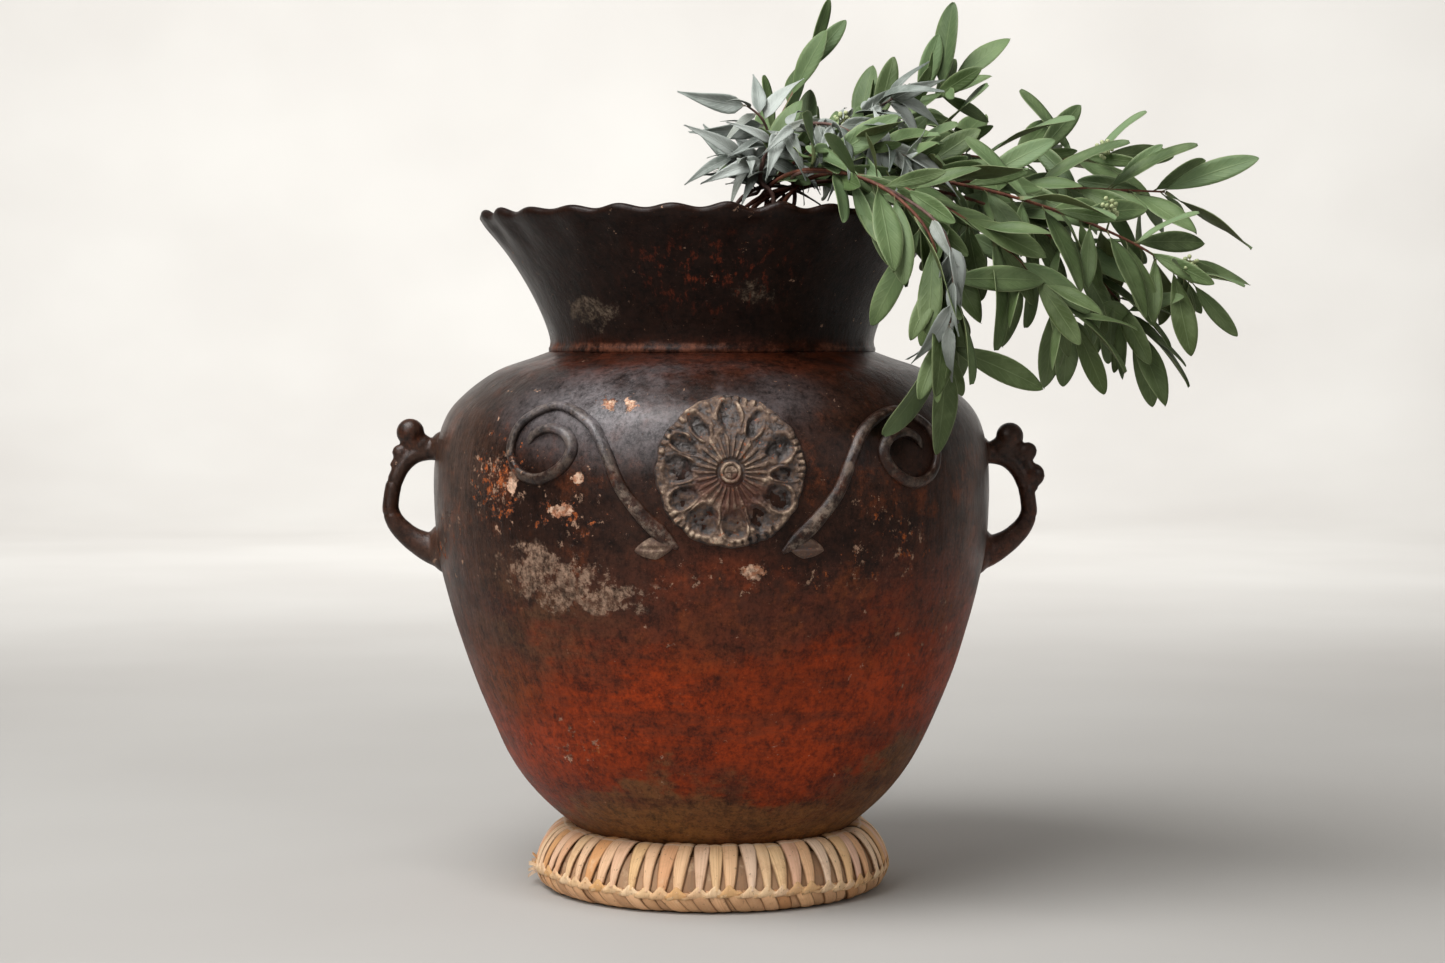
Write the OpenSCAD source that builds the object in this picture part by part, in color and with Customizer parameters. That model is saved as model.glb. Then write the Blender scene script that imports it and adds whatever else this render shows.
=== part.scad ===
// Burnished clay jar with a fluted rim, two crested loop handles and applied
// relief, standing in a woven palm ring, with a spray of cut eucalyptus in its mouth.
// The origin is the centre of the ring's foot, +Z is up and -Y is the decorated front.

/* [Jar] */
// Height of the round bottom above the surface
bottom_z = 14; // [14:0.5:16]
// Height of the seam between shoulder and neck
seam_z = 428; // [424:1:434]
// Height of the rim's crests
rim_z = 536; // [532:1:542]
// Largest radius of the belly
belly_r = 221; // [219:0.5:222]
// Outside radius of the neck at the seam
neck_r = 126; // [122:1:130]
// Outside radius of the rim
rim_r = 184; // [180:1:186]
// Thickness of the clay wall
wall = 9; // [8:0.5:10]
// Height of the joint between the moulded base and the coiled shoulder
mould_z = 236; // [225:1:245]

/* [Rim] */
// Waves pressed into the rim
waves = 27; // [20:1:32]
// How far each wave stands out and up
wave_h = 1.8; // [1:0.1:2.5]

/* [Handles] */
// Radius of the clay roll that each handle is bent from
roll_r = 7.2; // [6.5:0.1:7.5]
// How much higher the left handle was luted on than the right one
left_up = 4; // [0:0.5:6]
// Radius of the knob that crowns each handle
knob_r = 10.4; // [9:0.1:11]

/* [Relief] */
// Radius of the rosette
rosette_r = 56; // [50:1:58]
// Petals round the rosette
petals = 12; // [8:1:14]
// Rays round the rosette's centre
rays = 24; // [16:1:28]
// Radius of the roll that the scrolls are coiled from
scroll_r = 3.6; // [3:0.1:4]
// How much lower the right scroll was laid than the left one
right_down = 3.5; // [0:0.5:5]

/* [Palm ring] */
// Outside radius of the ring at its braid
ring_r = 141; // [139:0.5:143]
// Radius of the ring's hole
hole_r = 88; // [84:1:90]
// Height of the ring
ring_h = 50; // [48:0.5:52]
// Height of the braided edge
braid_z = 17; // [16:0.5:19]
// Palm strips wrapped round the ring
strips = 66; // [54:1:72]

/* [Spray] */
// Radius of a stem where it is cut
stem_r = 2.2; // [1.8:0.1:2.4]
// Width of a broad leaf as a share of its length
broad = 0.29; // [0.25:0.01:0.32]
// Width of a narrow leaf as a share of its length
narrow = 0.32; // [0.28:0.01:0.34]

/* [Hidden] */
$fn = 48;
cut = 300;              // a length that reaches past every part it cuts
bite = 1.2;             // how deep applied clay is luted into the wall
clearance = 0.3;        // gap between the jar and its ring
lip_z = rim_z - 20;     // where the fluted lip begins
flare = rim_r - 2 - neck_r;
body_h = seam_z - bottom_z;
rosette_z = 340;        // height of the rosette's centre
leaf_turn = 14.5;       // degrees from the front to a scroll's leaf

// Outline of the body, as shares of the belly's radius and of the body's height
BODY = [
    [0, 0], [0.25, 0.01], [0.416, 0.051], [0.53, 0.097], [0.647, 0.155], [0.738, 0.222],
    [0.819, 0.316], [0.887, 0.411], [0.946, 0.517], [0.986, 0.614], [1, 0.715],
    [0.993, 0.8], [0.955, 0.872], [0.882, 0.918], [0.769, 0.961], [0.64, 0.986],
    [neck_r / belly_r, 1]
];

// Route of the right handle's roll: out from the jar's axis, height, share of its radius
HANDLE = [
    [213, 346, 1.6], [221, 345, 1.25], [229, 343.8, 1.1], [238.5, 340, 1], [247, 331.5, 0.93],
    [252.6, 320, 0.9], [255.7, 307, 0.9], [255.9, 296, 0.95], [251, 285.5, 1.08],
    [241.5, 276, 1.25], [230, 269, 1.55], [220, 265.8, 1.95], [212, 265.5, 2.36]
];

// Route of the scroll on the right, from its foot inwards: degrees round the jar, height
SCROLL = [
    [10, 285], [13.5, 297], [17, 310], [21, 329], [24, 352], [28.5, 375], [37.5, 387],
    [45, 376], [47, 356], [44.6, 339], [39.2, 333], [34, 341], [31.6, 355], [33.5, 367],
    [38, 371.3], [41.6, 366], [42.6, 359]
];

// Sprigs: name, narrow leaves or not, leaves, bare share of the route past the mouth,
// leaf length, spread, droop, and the route past the mouth
SPRIGS = [
    ["crown", false, 8, 0.2, 58, 0.5, -0.35,
        [[34, -66, 570], [46, -56, 600], [60, -50, 628], [74, -46, 656]]],
    ["back", false, 18, 0.15, 62, 0.8, -0.1,
        [[65, -40, 570], [115, -30, 595], [160, -20, 618], [186, -20, 636]]],
    ["top", false, 22, 0.12, 70, 0.85, 0.05,
        [[100, -20, 570], [175, 0, 585], [250, 10, 580], [318, 20, 586]]],
    ["middle", false, 26, 0.12, 70, 0.85, 0.3,
        [[95, -60, 560], [180, -60, 560], [275, -60, 555], [352, -60, 552]]],
    ["long", false, 28, 0.12, 70, 0.85, 0.45,
        [[90, -110, 558], [170, -130, 555], [250, -130, 535], [318, -120, 508], [362, -112, 480]]],
    ["front", false, 20, 0.2, 72, 0.7, 0.7,
        [[75, -140, 560], [130, -180, 548], [185, -190, 518], [230, -180, 482], [258, -175, 452]]],
    ["hanging", false, 20, 0.22, 74, 0.6, 0.8,
        [[55, -140, 562], [105, -190, 552], [142, -212, 518], [156, -214, 472], [158, -208, 430]]],
    ["lower", false, 24, 0.14, 72, 0.75, 0.7,
        [[95, -60, 558], [185, -75, 548], [258, -90, 515], [302, -90, 475], [322, -85, 448]]],
    ["short", false, 12, 0.15, 54, 0.8, 0.1,
        [[45, -100, 562], [80, -135, 578], [115, -150, 574]]],
    ["silver_left", true, 14, 0.3, 37, 0.9, 0.25,
        [[30, -95, 550], [26, -106, 566], [12, -112, 575]]],
    ["silver_arch", true, 26, 0.25, 39, 0.9, 0.5,
        [[30, -110, 560], [42, -125, 590], [75, -140, 598], [110, -150, 584], [135, -162, 572]]],
    ["silver_tall", true, 12, 0.3, 38, 0.9, 0.1,
        [[34, -86, 565], [38, -92, 588], [32, -102, 604], [20, -104, 614]]],
    ["silver_top", true, 16, 0.3, 40, 0.85, 0.2,
        [[45, -90, 560], [75, -95, 588], [108, -100, 606], [132, -100, 620]]],
    ["silver_low", true, 10, 0.55, 42, 0.6, 0.7,
        [[55, -140, 560], [102, -178, 554], [150, -222, 520], [160, -236, 476], [157, -236, 448]]]
];
// Where the bundle of stems ends, passes the throat and leaves the mouth
FOOT = [-25, 20, 300];
THROAT = [0, -30, 430];
MOUTH = [30, -85, 532];
// Seed clusters: the sprig that each hangs on, and how far along its route
SEEDS = [["top", 0.99], ["top", 0.7], ["middle", 0.62], ["long", 0.8], ["long", 1], ["back", 0.6],
    ["silver_top", 0.75]];
// Outlines of the two kinds of leaf: share of the length, share of the width
BROAD_LEAF = [[0, 0], [0.3, 0.44], [0.6, 0.5], [0.86, 0.34], [1, 0]];
NARROW_LEAF = [[0, 0], [0.28, 0.5], [0.55, 0.38], [0.8, 0.14], [1, 0]];

// ---- vectors, curves and numbers ----

function unit(v) = v / norm(v);
// A number from 0 to 1 that looks random but is the same every time
function hashed(i, k) = ((i * 7919 + k * 104729 + 1013) % 9973) / 9973;
// A point at share t of a smooth curve through the points p
function spline(p, t) =
    let (n = len(p) - 1, s = min(floor(t * n), n - 1), f = t * n - s,
        a = p[max(s - 1, 0)], b = p[s], c = p[s + 1], d = p[min(s + 2, n)])
    0.5 * (2 * b + (c - a) * f + (2 * a - 5 * b + 4 * c - d) * f * f
        + (3 * b - a - 3 * c + d) * f * f * f);
function heading(p, t) = unit(spline(p, min(t + 0.01, 1)) - spline(p, max(t - 0.01, 0)));
function index_of(name, i = 0) = SPRIGS[i][0] == name ? i : index_of(name, i + 1);

// A tube of round section along the points p, with radius r[i] at each
module tube(p, r, sides) {
    n = len(p);
    ahead = [for (i = [0 : n - 1]) unit(p[min(i + 1, n - 1)] - p[max(i - 1, 0)])];
    across = [for (h = ahead) unit(cross(h, abs(h[2]) > 0.9 ? [0, 1, 0] : [0, 0, 1]))];
    rings = [for (i = [0 : n - 1], j = [0 : sides - 1])
        let (a = 360 * j / sides, u = across[i], v = cross(ahead[i], u))
        p[i] + r[i] * (cos(a) * u + sin(a) * v)];
    bands = [for (i = [0 : n - 2], j = [0 : sides - 1])
        let (a = i * sides, b = a + sides, k = (j + 1) % sides)
        each [[a + j, b + j, b + k], [a + j, b + k, a + k]]];
    start = [for (j = [0 : sides - 1]) j];
    end = [for (j = [sides - 1 : -1 : 0]) (n - 1) * sides + j];
    polyhedron(rings, concat([start], bands, [end]));
}

// ---- the jar's wall ----

function body_outline() =
    let (p = [for (b = BODY) [b[0] * belly_r, bottom_z + b[1] * body_h]])
    [for (i = [0 : 32]) spline(p, i / 32)];
// The outline moved outwards by d, or inwards where d is negative
function offset_outline(d) =
    let (p = body_outline(), n = len(p) - 1)
    [for (i = [0 : n])
        let (t = unit(p[min(i + 1, n)] - p[max(i - 1, 0)]), q = p[i] + d * [t[1], -t[0]])
        i == 0 ? [0, p[0][1] - d] : i == n ? [neck_r + d, seam_z] : [max(q[0], 0.01), q[1]]];
// Radius of the body at height z
function body_r(z) = lookup(z, [for (p = body_outline()) [p[1], p[0]]]);
// Radius of the neck at height z
function neck_at(z) =
    let (u = (z - seam_z) / (rim_z - 8 - seam_z))
    neck_r + flare * (0.48 * u + 0.52 * u * u);
// A point d outside the wall, at an angle from the front and a height
function wall_point(angle, z, d) =
    let (r = body_r(z) + d)
    [r * sin(angle), -r * cos(angle), z];

// The space inside the body's outline moved by d
module body_solid(d) {
    rotate_extrude()
        polygon(concat(offset_outline(d), [[0, seam_z]]));
}

module body_wall() {
    inside = offset_outline(-wall);
    rotate_extrude()
        polygon(concat(body_outline(), [for (i = [len(inside) - 1 : -1 : 0]) inside[i]]));
}

// Keeps what the children and a skin over the wall share
module on_wall(low, high) {
    intersection() {
        children();
        difference() {
            body_solid(high);
            body_solid(low);
        }
    }
}

module base_bowl() {
    color("saddlebrown")
    intersection() {
        body_wall();
        cylinder(h = mould_z, r = cut);
    }
}

module shoulder_wall() {
    color("#3a2420")
    difference() {
        body_wall();
        translate([0, 0, -1])
            cylinder(h = mould_z + 1, r = cut);
    }
}

module neck_collar() {
    steps = 10;
    heights = [for (i = [0 : steps]) seam_z + (lip_z - seam_z) * i / steps];
    color("#2c1c19")
    rotate_extrude()
        polygon(concat(
            [for (z = heights) [neck_at(z), z]],
            [for (i = [steps : -1 : 0]) [neck_at(heights[i]) - wall, heights[i]]]));
}

// The ridge of clay that was smoothed over the joint of neck and shoulder
module neck_seam_coil() {
    color("#5a2a20")
    rotate_extrude()
        translate([neck_r + 0.5, seam_z + 0.5])
            circle(r = 3.6);
}

// The lip, pressed into waves between finger and thumb
module fluted_rim() {
    per_wave = 4;
    n = waves * per_wave;
    r = neck_at(lip_z);
    ring = function (a) let (w = wave_h * cos(waves * a)) [
        [r - wall, lip_z], [r, lip_z], [neck_at(lip_z + 6) + 0.4 * w, lip_z + 6],
        [rim_r + w - 1.5, rim_z - 9], [rim_r + w, rim_z - 4 + w], [rim_r - 5 + w, rim_z - wave_h + w],
        [rim_r - 10 + w, rim_z - 5 + w]
    ];
    m = len(ring(0));
    points = [for (i = [0 : n - 1]) let (a = 360 * i / n)
        for (q = ring(a)) [q[0] * cos(a), q[0] * sin(a), q[1]]];
    faces = [for (i = [0 : n - 1], j = [0 : m - 1])
        let (a = i * m, b = (i + 1) % n * m, l = (j + 1) % m)
        each [[a + j, a + l, b + l], [a + j, b + l, b + j]]];
    color("#3b2a26")
        polyhedron(points, faces);
}

// ---- handles ----

// The right handle: a roll of clay bent out from the shoulder and back to the belly,
// whose ends spread where they are pressed into the wall
module handle_roll() {
    n = 36;
    route = [for (i = [0 : n]) spline(HANDLE, i / n)];
    tube([for (q = route) [q[0], 0, q[1]]], [for (q = route) roll_r * q[2]], 12);
}

// A thin web along the outside of the roll, from the knob down to the comb's last lobe
module comb_web(last) {
    first = 0.17;
    steps = 12;
    thick = 5;
    rise = 2.6;
    shares = [for (i = [0 : steps]) first + (last - first) * i / steps];
    inner = [for (t = shares) let (q = spline(HANDLE, t)) [q[0], q[1]]];
    outer = [for (t = shares)
        let (q = spline(HANDLE, t), h = heading([for (p = HANDLE) [p[0], p[1]]], t))
        [q[0], q[1]] + (roll_r * q[2] + rise) * [-h[1], h[0]]];
    translate([0, thick / 2, 0]) rotate([90, 0, 0])
        linear_extrude(height = thick)
            polygon(concat(inner, [for (i = [steps : -1 : 0]) outer[i]]));
}

// The comb along a handle: a round knob on a short neck, then lobes, each given as
// [out from the axis, height, radius], on a web that ends at share last of the roll
module handle_comb(lobes, last) {
    lobe_w = 8;
    translate([240.3, 0, 358.2]) sphere(r = knob_r);
    translate([231, 0, 345]) rotate([0, 35, 0]) cylinder(r = 7.4, h = 13);
    for (l = lobes)
        translate([l[0], lobe_w / 2, l[1]]) rotate([90, 0, 0])
            cylinder(r = l[2], h = lobe_w);
    comb_web(last);
}

module handle_left() {
    color("#2a1a17") translate([0, 0, left_up]) mirror([1, 0, 0]) handle_roll();
}

module handle_right() {
    color("#2a1a17") handle_roll();
}

module crest_left() {
    color("#33201c") translate([0, 0, left_up]) mirror([1, 0, 0])
        handle_comb([[248.6, 342, 5.6]], 0.36);
}

module crest_right() {
    color("#33201c") handle_comb([[254.6, 345.2, 7], [258.8, 327, 8.6]], 0.46);
}

// ---- rosette and scrolls ----

// Lays a flat outline against the front of the jar, with its centre at the rosette's
module on_front() {
    translate([0, 0, rosette_z]) rotate([90, 0, 0])
        linear_extrude(height = cut) children();
}

module spoke(inner, outer, width) {
    translate([inner, -width / 2]) square([outer - inner, width]);
}

module rosette_disc() {
    color("#6a5a50")
    on_wall(-bite, 3.4) on_front()
        circle(r = rosette_r - 7);
}

// The rim of the rosette, notched all round by a comb
module rosette_edge() {
    teeth = 36;
    color("#6f5d52")
    on_wall(-bite, 4.2) on_front()
        difference() {
            circle(r = rosette_r);
            circle(r = rosette_r - 6.8);
            for (i = [0 : teeth - 1])
                rotate(360 * i / teeth) spoke(rosette_r - 3, rosette_r + 2, 2.2);
        }
}

// Ribs that part the scooped petals
module rosette_petals() {
    color("#7d6c61")
    on_wall(3.45, 6) on_front()
        for (i = [0 : petals - 1])
            rotate(360 * (i + 0.5) / petals) spoke(rosette_r * 0.56, rosette_r - 7.2, 4.4);
}

module rosette_rays() {
    color("#5b3d31")
    on_wall(3.45, 5.4) on_front()
        for (i = [0 : rays - 1])
            rotate(360 * i / rays) spoke(9.5, rosette_r * 0.54, 1.5);
}

// The small clay ring pressed on the middle of the rosette
module rosette_centre() {
    color("#6b4a3c")
    on_wall(3.45, 7.5) on_front()
        difference() {
            circle(r = 8.4);
            circle(r = 5.2);
        }
}

// The right scroll, moved up or down the wall
module scroll(up) {
    n = 80;
    path = [for (i = [0 : n]) let (q = spline(SCROLL, i / n)) wall_point(q[0], q[1] + up, 1)];
    sizes = [for (i = [0 : n]) scroll_r * (i > n - 4 ? 0.8 : i < 6 ? 0.75 + 0.04 * i : 1)];
    tube(path, sizes, 8);
}

module scroll_right() {
    color("#2f1d1a") scroll(-right_down);
}

module scroll_left() {
    color("#2f1d1a") mirror([1, 0, 0]) scroll(0);
}

// The almond-shaped leaf beside a scroll's foot. side is -1 on the left, 1 on the right
module scroll_leaf(side) {
    bow = 17;
    rise = 8.5;
    z = SCROLL[0][1];
    on_wall(-bite, 3.2)
        translate([side * body_r(z) * sin(leaf_turn), 0, z]) rotate([90, 0, 0])
            linear_extrude(height = cut)
                intersection() {
                    translate([0, bow - rise]) circle(r = bow);
                    translate([0, rise - bow]) circle(r = bow);
                }
}

module scroll_leaf_left() {
    color("#6d5f55") scroll_leaf(-1);
}

module scroll_leaf_right() {
    color("#6d5f55") scroll_leaf(1);
}

// ---- palm ring ----

// Half section of the ring from its hole round the top to its foot, moved in by d
function ring_outline(d) = [
    [hole_r + d, d], [hole_r + d, 18], [96, 34], [108 + d / 2, ring_h - 3 - d], [116, ring_h - d],
    [125, ring_h - 4.5 - d], [133 - d / 2, ring_h - 15 - d / 2], [137.5 - d, 26],
    [ring_r - 2 - d, braid_z], [ring_r - 3 - d, 9], [ring_r - 7 - d, 3], [ring_r - 12, d]
];
// The same section between two heights, for the strips that cover the core outside
function skin(points, first, last, d) = concat(
    [for (i = [first : last]) points[i]],
    [for (i = [last : -1 : first]) ring_outline(d)[i]]);

module ring_core() {
    color("#8a7656")
    difference() {
        rotate_extrude()
            polygon(concat(ring_outline(2), [[ring_r - 14, 0], [hole_r + 2, 0]]));
        body_solid(clearance);
    }
}

module ring_upper_strips() {
    color("#cdb189")
    for (i = [0 : strips - 1])
        rotate(360 * i / strips)
            rotate_extrude(angle = 330 / strips)
                polygon(skin(ring_outline(0), 4, 7, 1.9));
}

module ring_lower_strips() {
    color("#b59a70")
    for (i = [0 : strips - 1])
        rotate(360 * (i + 0.5) / strips)
            rotate_extrude(angle = 300 / strips)
                polygon(skin(ring_outline(0), 9, 11, 1.9));
}

// The twisted edge: one bead of folded strip after another, end to end
module ring_braid() {
    half = PI * ring_r / strips * 0.96;
    color("#dcc397")
    for (i = [0 : strips - 1])
        rotate(360 * i / strips)
            polyhedron(
                [[ring_r - 1, -half, braid_z - 1], [ring_r - 1, half, braid_z - 1],
                    [ring_r - 2.6, 0, braid_z - 3.4], [ring_r + 1.6, 0, braid_z - 2.4],
                    [ring_r - 1.4, 0, braid_z + 3.8]],
                [[0, 2, 3], [0, 3, 4], [0, 4, 2], [1, 3, 2], [1, 4, 3], [1, 2, 4]]);
}

// The frayed ends where the braid was tied off
module ring_tuft() {
    color("#bfa27a")
    for (i = [-1 : 1])
        translate([-ring_r, 4 * i, braid_z - 5]) rotate([9 * i, -10, 0])
            translate([-1, -1.6, 0]) cube([1.8, 3.2, 17 + 2 * i]);
}

// ---- spray ----

function bundle_place(k) = 4.4 * sqrt(k + 0.5) * [cos(137.5 * k), sin(137.5 * k), 0];
function route(k) =
    let (o = bundle_place(k))
    concat([FOOT + o, THROAT + o, MOUTH + 1.6 * o], SPRIGS[k][7]);

// Is a point too near the jar for a leaf that must lift straight out of it?
function near_jar(p) =
    p[2] < rim_z + 14 && norm([p[0], p[1]]) < (p[2] < 430 ? belly_r + 13 : rim_r + 16);
function leaf_blocked(at, d, length) =
    len([for (s = [0.4, 0.7, 1.05]) if (near_jar(at + d * length * s)) s]) > 0;
// A leaf that would hang against the jar lies out instead, and then up
function lifted(at, d, length) =
    let (out = unit([d[0], d[1], 0.3 * abs(d[2]) + 0.25]))
    !leaf_blocked(at, d, length) ? d
        : !leaf_blocked(at, out, length) ? out : unit([0.3 * out[0], 0.3 * out[1], 1]);

// Leaf i of sprig k: where it grows, its direction, its width's direction, its length
function leaf_frame(k, i) =
    let (s = SPRIGS[k], p = route(k), m = len(p) - 1, last = i == s[2] - 1,
        u = last ? 1 : s[3] + (1 - s[3]) * (2 * floor(i / 2) + 0.6 + 0.5 * (i % 2)) / s[2],
        t = (2 + u * (m - 2)) / m,
        at = spline(p, t), ahead = heading(p, t),
        side = unit(cross(ahead, [0, 0, 1])), rise = cross(side, ahead),
        phi = 97 * floor(i / 2) + 165 * (i % 2) + 50 * hashed(i, k),
        spread = last ? 0 : s[5] * (0.8 + 0.5 * hashed(i, k + 31)),
        droop = s[6] * (0.6 + 0.8 * hashed(i, k + 7)),
        free = unit(0.75 * ahead + spread * (cos(phi) * side + sin(phi) * rise) - [0, 0, droop]),
        length = s[4] * (0.78 + 0.4 * hashed(i, k + 13)),
        d = lifted(at, free, length),
        flat = unit(cross(d, unit([0.05, -0.85, 0.5]))),
        twist = 130 * (hashed(i, k + 19) - 0.5))
    [at + 1.5 * d, d, flat * cos(twist) + cross(flat, d) * sin(twist), length];

// One leaf: a thin lens, curled back towards its tip
module leaf(k, i) {
    f = leaf_frame(k, i);
    at = f[0];
    d = f[1];
    w = f[2];
    length = f[3];
    narrow_kind = SPRIGS[k][1];
    width = length * (narrow_kind ? narrow : broad) * (0.85 + 0.3 * hashed(i, k + 23));
    curl = narrow_kind ? 0.26 : 0.1;
    thick = 0.7;
    n = cross(w, d);
    shape = narrow_kind ? NARROW_LEAF : BROAD_LEAF;
    half = len(shape) - 1;
    place = function (q, up) at + d * length * q[0] + w * width * q[1]
        + n * (up - curl * length * q[0] * q[0]);
    rim = concat([for (q = shape) place(q, 0)],
        [for (j = [half - 1 : -1 : 1]) place([shape[j][0], -shape[j][1]], 0)]);
    m = len(rim);
    polyhedron(
        concat(rim, [place([0.5, 0], thick), place([0.5, 0], -thick)]),
        concat([for (j = [0 : m - 1]) [j, (j + 1) % m, m]],
            [for (j = [0 : m - 1]) [(j + 1) % m, j, m + 1]]));
}

// All the leaves of a sprig, fused where they cross
module sprig_leaves(name) {
    k = index_of(name);
    color(SPRIGS[k][1] ? "#9aa5a6" : "#5f7f58")
        for (i = [0 : SPRIGS[k][2] - 1]) leaf(k, i);
}

module sprig_stem(name) {
    k = index_of(name);
    rings = 20;
    color("#6b3a30")
    tube([for (j = [0 : rings]) spline(route(k), j / rings)],
        [for (j = [0 : rings]) stem_r * (1 - 0.6 * j / rings)], 6);
}

// One cluster of round seeds on a short stalk
module seed_cluster(k, t, turn) {
    p = route(k);
    lean = 25;
    translate(spline(p, t)) rotate([lean * cos(turn), lean * sin(turn), turn]) {
        cylinder(r = 0.8, h = 15);
        for (i = [0 : 6])
            rotate(137.5 * i) translate([1.9, 0, 4 + 1.8 * i]) sphere(r = 1.7);
    }
}

module seed_clusters() {
    color("#a9b487")
    for (i = [0 : len(SEEDS) - 1])
        seed_cluster(index_of(SEEDS[i][0]), SEEDS[i][1], 60 * i);
}

ring_core();
ring_upper_strips();
ring_lower_strips();
ring_braid();
ring_tuft();
base_bowl();
shoulder_wall();
neck_collar();
neck_seam_coil();
fluted_rim();
handle_left();
handle_right();
crest_left();
crest_right();
rosette_disc();
rosette_edge();
rosette_petals();
rosette_rays();
rosette_centre();
scroll_left();
scroll_right();
scroll_leaf_left();
scroll_leaf_right();
sprig_stem("crown");  // crown_stem
sprig_leaves("crown");  // crown_leaves
sprig_stem("back");  // back_stem
sprig_leaves("back");  // back_leaves
sprig_stem("top");  // top_stem
sprig_leaves("top");  // top_leaves
sprig_stem("middle");  // middle_stem
sprig_leaves("middle");  // middle_leaves
sprig_stem("long");  // long_stem
sprig_leaves("long");  // long_leaves
sprig_stem("front");  // front_stem
sprig_leaves("front");  // front_leaves
sprig_stem("hanging");  // hanging_stem
sprig_leaves("hanging");  // hanging_leaves
sprig_stem("lower");  // lower_stem
sprig_leaves("lower");  // lower_leaves
sprig_stem("short");  // short_stem
sprig_leaves("short");  // short_leaves
sprig_stem("silver_left");  // silver_left_stem
sprig_leaves("silver_left");  // silver_left_leaves
sprig_stem("silver_arch");  // silver_arch_stem
sprig_leaves("silver_arch");  // silver_arch_leaves
sprig_stem("silver_tall");  // silver_tall_stem
sprig_leaves("silver_tall");  // silver_tall_leaves
sprig_stem("silver_top");  // silver_top_stem
sprig_leaves("silver_top");  // silver_top_leaves
sprig_stem("silver_low");  // silver_low_stem
sprig_leaves("silver_low");  // silver_low_leaves
seed_clusters();
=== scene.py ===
"""The looks of a burnished clay jar that stands in a palm ring and holds a spray of eucalyptus.

Shapes are worked out in millimetres, in the CAD model's frame: the origin is the centre of the
ring's foot, +Z is up and -Y is the decorated front. mesh_piece() turns them into metres.
Angles round the jar are measured from the front, and grow towards the right.
"""
import math
from math import cos, pi, radians, sin, tau

import bmesh
import bpy
import numpy as np
from mathutils import Matrix, Vector, noise


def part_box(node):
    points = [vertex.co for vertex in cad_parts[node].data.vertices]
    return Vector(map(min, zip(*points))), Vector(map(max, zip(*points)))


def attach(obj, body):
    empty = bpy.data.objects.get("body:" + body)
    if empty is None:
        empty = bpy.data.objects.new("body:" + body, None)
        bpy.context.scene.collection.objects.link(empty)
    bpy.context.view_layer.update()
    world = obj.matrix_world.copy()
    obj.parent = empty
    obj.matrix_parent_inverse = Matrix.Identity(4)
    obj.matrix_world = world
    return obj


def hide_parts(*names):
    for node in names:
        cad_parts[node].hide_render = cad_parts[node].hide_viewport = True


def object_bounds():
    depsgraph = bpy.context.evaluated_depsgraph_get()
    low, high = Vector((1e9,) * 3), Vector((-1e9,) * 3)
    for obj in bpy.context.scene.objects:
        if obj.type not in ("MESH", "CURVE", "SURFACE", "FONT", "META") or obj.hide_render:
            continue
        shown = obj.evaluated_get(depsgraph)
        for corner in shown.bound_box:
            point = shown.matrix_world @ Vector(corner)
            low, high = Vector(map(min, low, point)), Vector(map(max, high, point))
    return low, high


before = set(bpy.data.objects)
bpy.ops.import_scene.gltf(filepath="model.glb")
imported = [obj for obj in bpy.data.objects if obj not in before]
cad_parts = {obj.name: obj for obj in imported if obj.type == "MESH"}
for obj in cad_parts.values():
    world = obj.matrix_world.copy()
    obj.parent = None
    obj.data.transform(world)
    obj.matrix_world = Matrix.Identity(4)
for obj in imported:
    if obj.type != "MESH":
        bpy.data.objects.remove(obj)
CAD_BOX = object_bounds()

MM = 0.001


# ---- sizes, from the frame ----

def span(node):
    """The lowest and highest corner of a CAD node, in millimetres."""
    low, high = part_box(node)
    return np.array(low) / MM, np.array(high) / MM


WALL = 9.0
LEAF_T, STRIP_T = 0.35, 0.5
PETALS, RAYS = 12, 26
WAVES = 27
WAVE_H = 1.8
SEAM_ROLL = 4.1
BOTTOM_Z = span("base_bowl")[0][2]
BELLY_R = span("shoulder_wall")[1][0]
SEAM_Z = span("neck_collar")[0][2]
NECK_R = span("neck_seam_coil")[1][0] - SEAM_ROLL
RIM_Z = span("fluted_rim")[1][2]
RIM_R = span("fluted_rim")[1][0] - WAVE_H
ROSETTE_R = (span("rosette_edge")[1][0] - span("rosette_edge")[0][0]) / 2
ROSETTE_Z = (span("rosette_edge")[1][2] + span("rosette_edge")[0][2]) / 2
LEFT_UP = span("handle_left")[1][2] - span("handle_right")[1][2]
RIGHT_DOWN = span("scroll_left")[1][2] - span("scroll_right")[1][2]
RING_R = span("ring_braid")[1][0] - 1.6
BRAID_Z = (span("ring_braid")[0][2] + span("ring_braid")[1][2]) / 2 - 0.2
STRIPS = 66
SIDE = {-1: "left", 1: "right"}
# Turn from one leaf or bud to the next, in degrees
NEXT = 137.5

# Outline of the body, as shares of the belly's radius and of the body's height
BODY = [
    (0, 0), (0.25, 0.01), (0.416, 0.051), (0.53, 0.097), (0.647, 0.155), (0.738, 0.222),
    (0.819, 0.316), (0.887, 0.411), (0.946, 0.517), (0.986, 0.614), (1, 0.715),
    (0.993, 0.8), (0.955, 0.872), (0.882, 0.918), (0.769, 0.961), (0.64, 0.986),
    (NECK_R / BELLY_R, 1),
]
# Route of the right scroll from its foot inwards: degrees round the jar, height
SCROLL = [
    (10, 285), (13.5, 297), (17, 310), (21, 329), (24, 352), (28.5, 375), (37.5, 387),
    (45, 376), (47, 356), (44.6, 339), (39.2, 333), (34, 341), (31.6, 355), (33.5, 367),
    (38, 371.3), (41.6, 366), (42.6, 359),
]
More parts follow.
